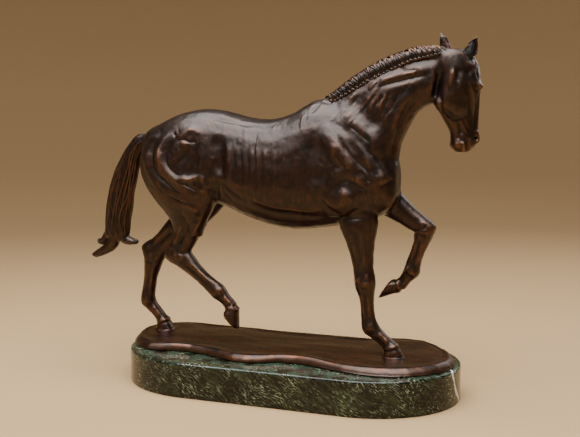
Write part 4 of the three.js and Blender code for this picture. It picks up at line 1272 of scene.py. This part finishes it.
class HORSE_OT_tail(bpy.types.Operator):
    """Model the long strands of the tail"""
    bl_idname = "bronze_horse.tail"
    bl_label = "Tail"

    def execute(self, context):
        sizes = context.scene.horse_hair
        strands = tail_strands(sizes.strands, 11)
        mesh = strands.mesh("tail_strands", bronze(context), sizes.strand_girth)
        shade_strands(mesh, cad_surface(), (0.0, 0.8), (0.7, 1.6))
        stand("tail_strands", mesh, "bronze_horse")
        return {"FINISHED"}


class HORSE_OT_plinth(bpy.types.Operator):
    """Model the polished marble plinth"""
    bl_idname = "bronze_horse.plinth"
    bl_label = "Plinth"

    def execute(self, context):
        stone = context.scene.horse_marble
        mesh = plinth_mesh(stone.rim / MM, stone.foot / MM)
        mesh.materials.append(marble_material(stone))
        stand("polished_plinth", mesh, "marble_plinth")
        return {"FINISHED"}


FLOOR_GAP = 0.0003  # metres between the plinth and the card, so that they don't flicker
# The card, in metres: flat under the plinth, then curving up far away on every side.
CARD = [(0.05, 0.0), (1.5, 0.0), (2.0, 0.05), (2.6, 0.3), (3.0, 0.9), (3.1, 1.7), (3.1, 2.6)]
CARD_SIDES = 96
CAMERA_AT, CAMERA_AIM = Vector((0.365243, -0.972738, 0.301400)), Vector((0.0003, 0.0, 0.1959))
LENS, FILM = 55.8, 36.0  # mm
LIGHTS_AIM = (0.0, 0.0, 0.2)


def aimed(thing, place, aim):
    """Puts a light or camera in the scene, looking at its aim."""
    thing.location = place
    thing.rotation_euler = (Vector(aim) - Vector(place)).to_track_quat("-Z", "Y").to_euler()
    bpy.context.scene.collection.objects.link(thing)


def soft_light(name, place, width, height, power):
    light = bpy.data.lights.new(name, "AREA")
    light.shape, light.size, light.size_y, light.energy = "RECTANGLE", width, height, power
    aimed(bpy.data.objects.new(name, light), place, LIGHTS_AIM)


class HORSE_OT_stage(bpy.types.Operator):
    """Lay the floor and set up the soft light and the camera"""
    bl_idname = "bronze_horse.stage"
    bl_label = "Stage"

    def execute(self, context):
        settings = context.scene.horse_stage
        mesh = bpy.data.meshes.new("floor")
        profile = smooth_path(CARD, 0.15)
        turns = [math.tau * k / CARD_SIDES for k in range(CARD_SIDES)]
        points = [(out * math.cos(turn), out * math.sin(turn), z - FLOOR_GAP)
                  for out, z in profile for turn in turns]
        sides = [tuple(reversed(face)) for face in walls(len(profile), CARD_SIDES)]
        mesh.from_pydata(points, [], [tuple(range(CARD_SIDES)), *sides])
        mesh.shade_smooth()
        mesh.materials.append(paper_material(settings))
        floor = bpy.data.objects.new("floor", mesh)
        context.scene.collection.objects.link(floor)

        soft_light("overhead softbox", (0.0, -0.36, 1.45), 1.8, 1.45, settings.overhead)
        soft_light("front softbox", (-0.9, -1.5, 0.9), 0.9, 0.9, settings.front)
        soft_light("back softbox", (0.7, 1.2, 0.9), 0.8, 0.8, settings.back)
        world = bpy.data.worlds.new("even room light")
        world.use_nodes = True
        room = world.node_tree.nodes["Background"]
        room.inputs["Color"].default_value = linear("d9ccba")
        room.inputs["Strength"].default_value = settings.sky
        context.scene.world = world

        lens = bpy.data.cameras.new("camera")
        lens.lens, lens.sensor_width = LENS, FILM
        lens.clip_start, lens.clip_end = 0.01, 100
        camera = bpy.data.objects.new("camera", lens)
        aimed(camera, CAMERA_AT, CAMERA_AIM)
        context.scene.camera = camera
        return {"FINISHED"}


class HORSE_PT_panel(bpy.types.Panel):
    """The pieces of the bronze horse and their settings"""
    bl_idname = "HORSE_PT_panel"
    bl_label = "Bronze horse"
    bl_space_type = "VIEW_3D"
    bl_region_type = "UI"
    bl_category = "Bronze horse"

    def draw(self, context):
        for group, operators in PANEL_ROWS:
            box = self.layout.box()
            settings = getattr(context.scene, group)
            for key in settings.bl_rna.properties.keys():
                if key not in ("rna_type", "name"):
                    box.prop(settings, key)
            for operator in operators:
                box.operator(operator)


PANEL_ROWS = [
    ("horse_bronze", []),
    ("horse_casting", ["bronze_horse.casting"]),
    ("horse_hair", ["bronze_horse.mane", "bronze_horse.tail"]),
    ("horse_marble", ["bronze_horse.plinth"]),
    ("horse_stage", ["bronze_horse.stage"]),
]
SETTINGS = {
    "horse_bronze": BronzeFinish, "horse_casting": CastingSizes, "horse_hair": HairSizes,
    "horse_marble": MarbleFinish, "horse_stage": StageSettings,
}
OPERATORS = [HORSE_OT_casting, HORSE_OT_mane, HORSE_OT_tail, HORSE_OT_plinth, HORSE_OT_stage]
CLASSES = [*SETTINGS.values(), *OPERATORS, HORSE_PT_panel]


def register():
    for kind in CLASSES:
        bpy.utils.register_class(kind)
    for name, kind in SETTINGS.items():
        setattr(bpy.types.Scene, name, bpy.props.PointerProperty(type=kind))


def unregister():
    for name in SETTINGS:
        delattr(bpy.types.Scene, name)
    for kind in reversed(CLASSES):
        bpy.utils.unregister_class(kind)


def main():
    register()
    bpy.ops.bronze_horse.casting()
    bpy.ops.bronze_horse.mane()
    bpy.ops.bronze_horse.tail()
    bpy.ops.bronze_horse.plinth()
    bpy.ops.bronze_horse.stage()


if __name__ == "__main__":
    main()
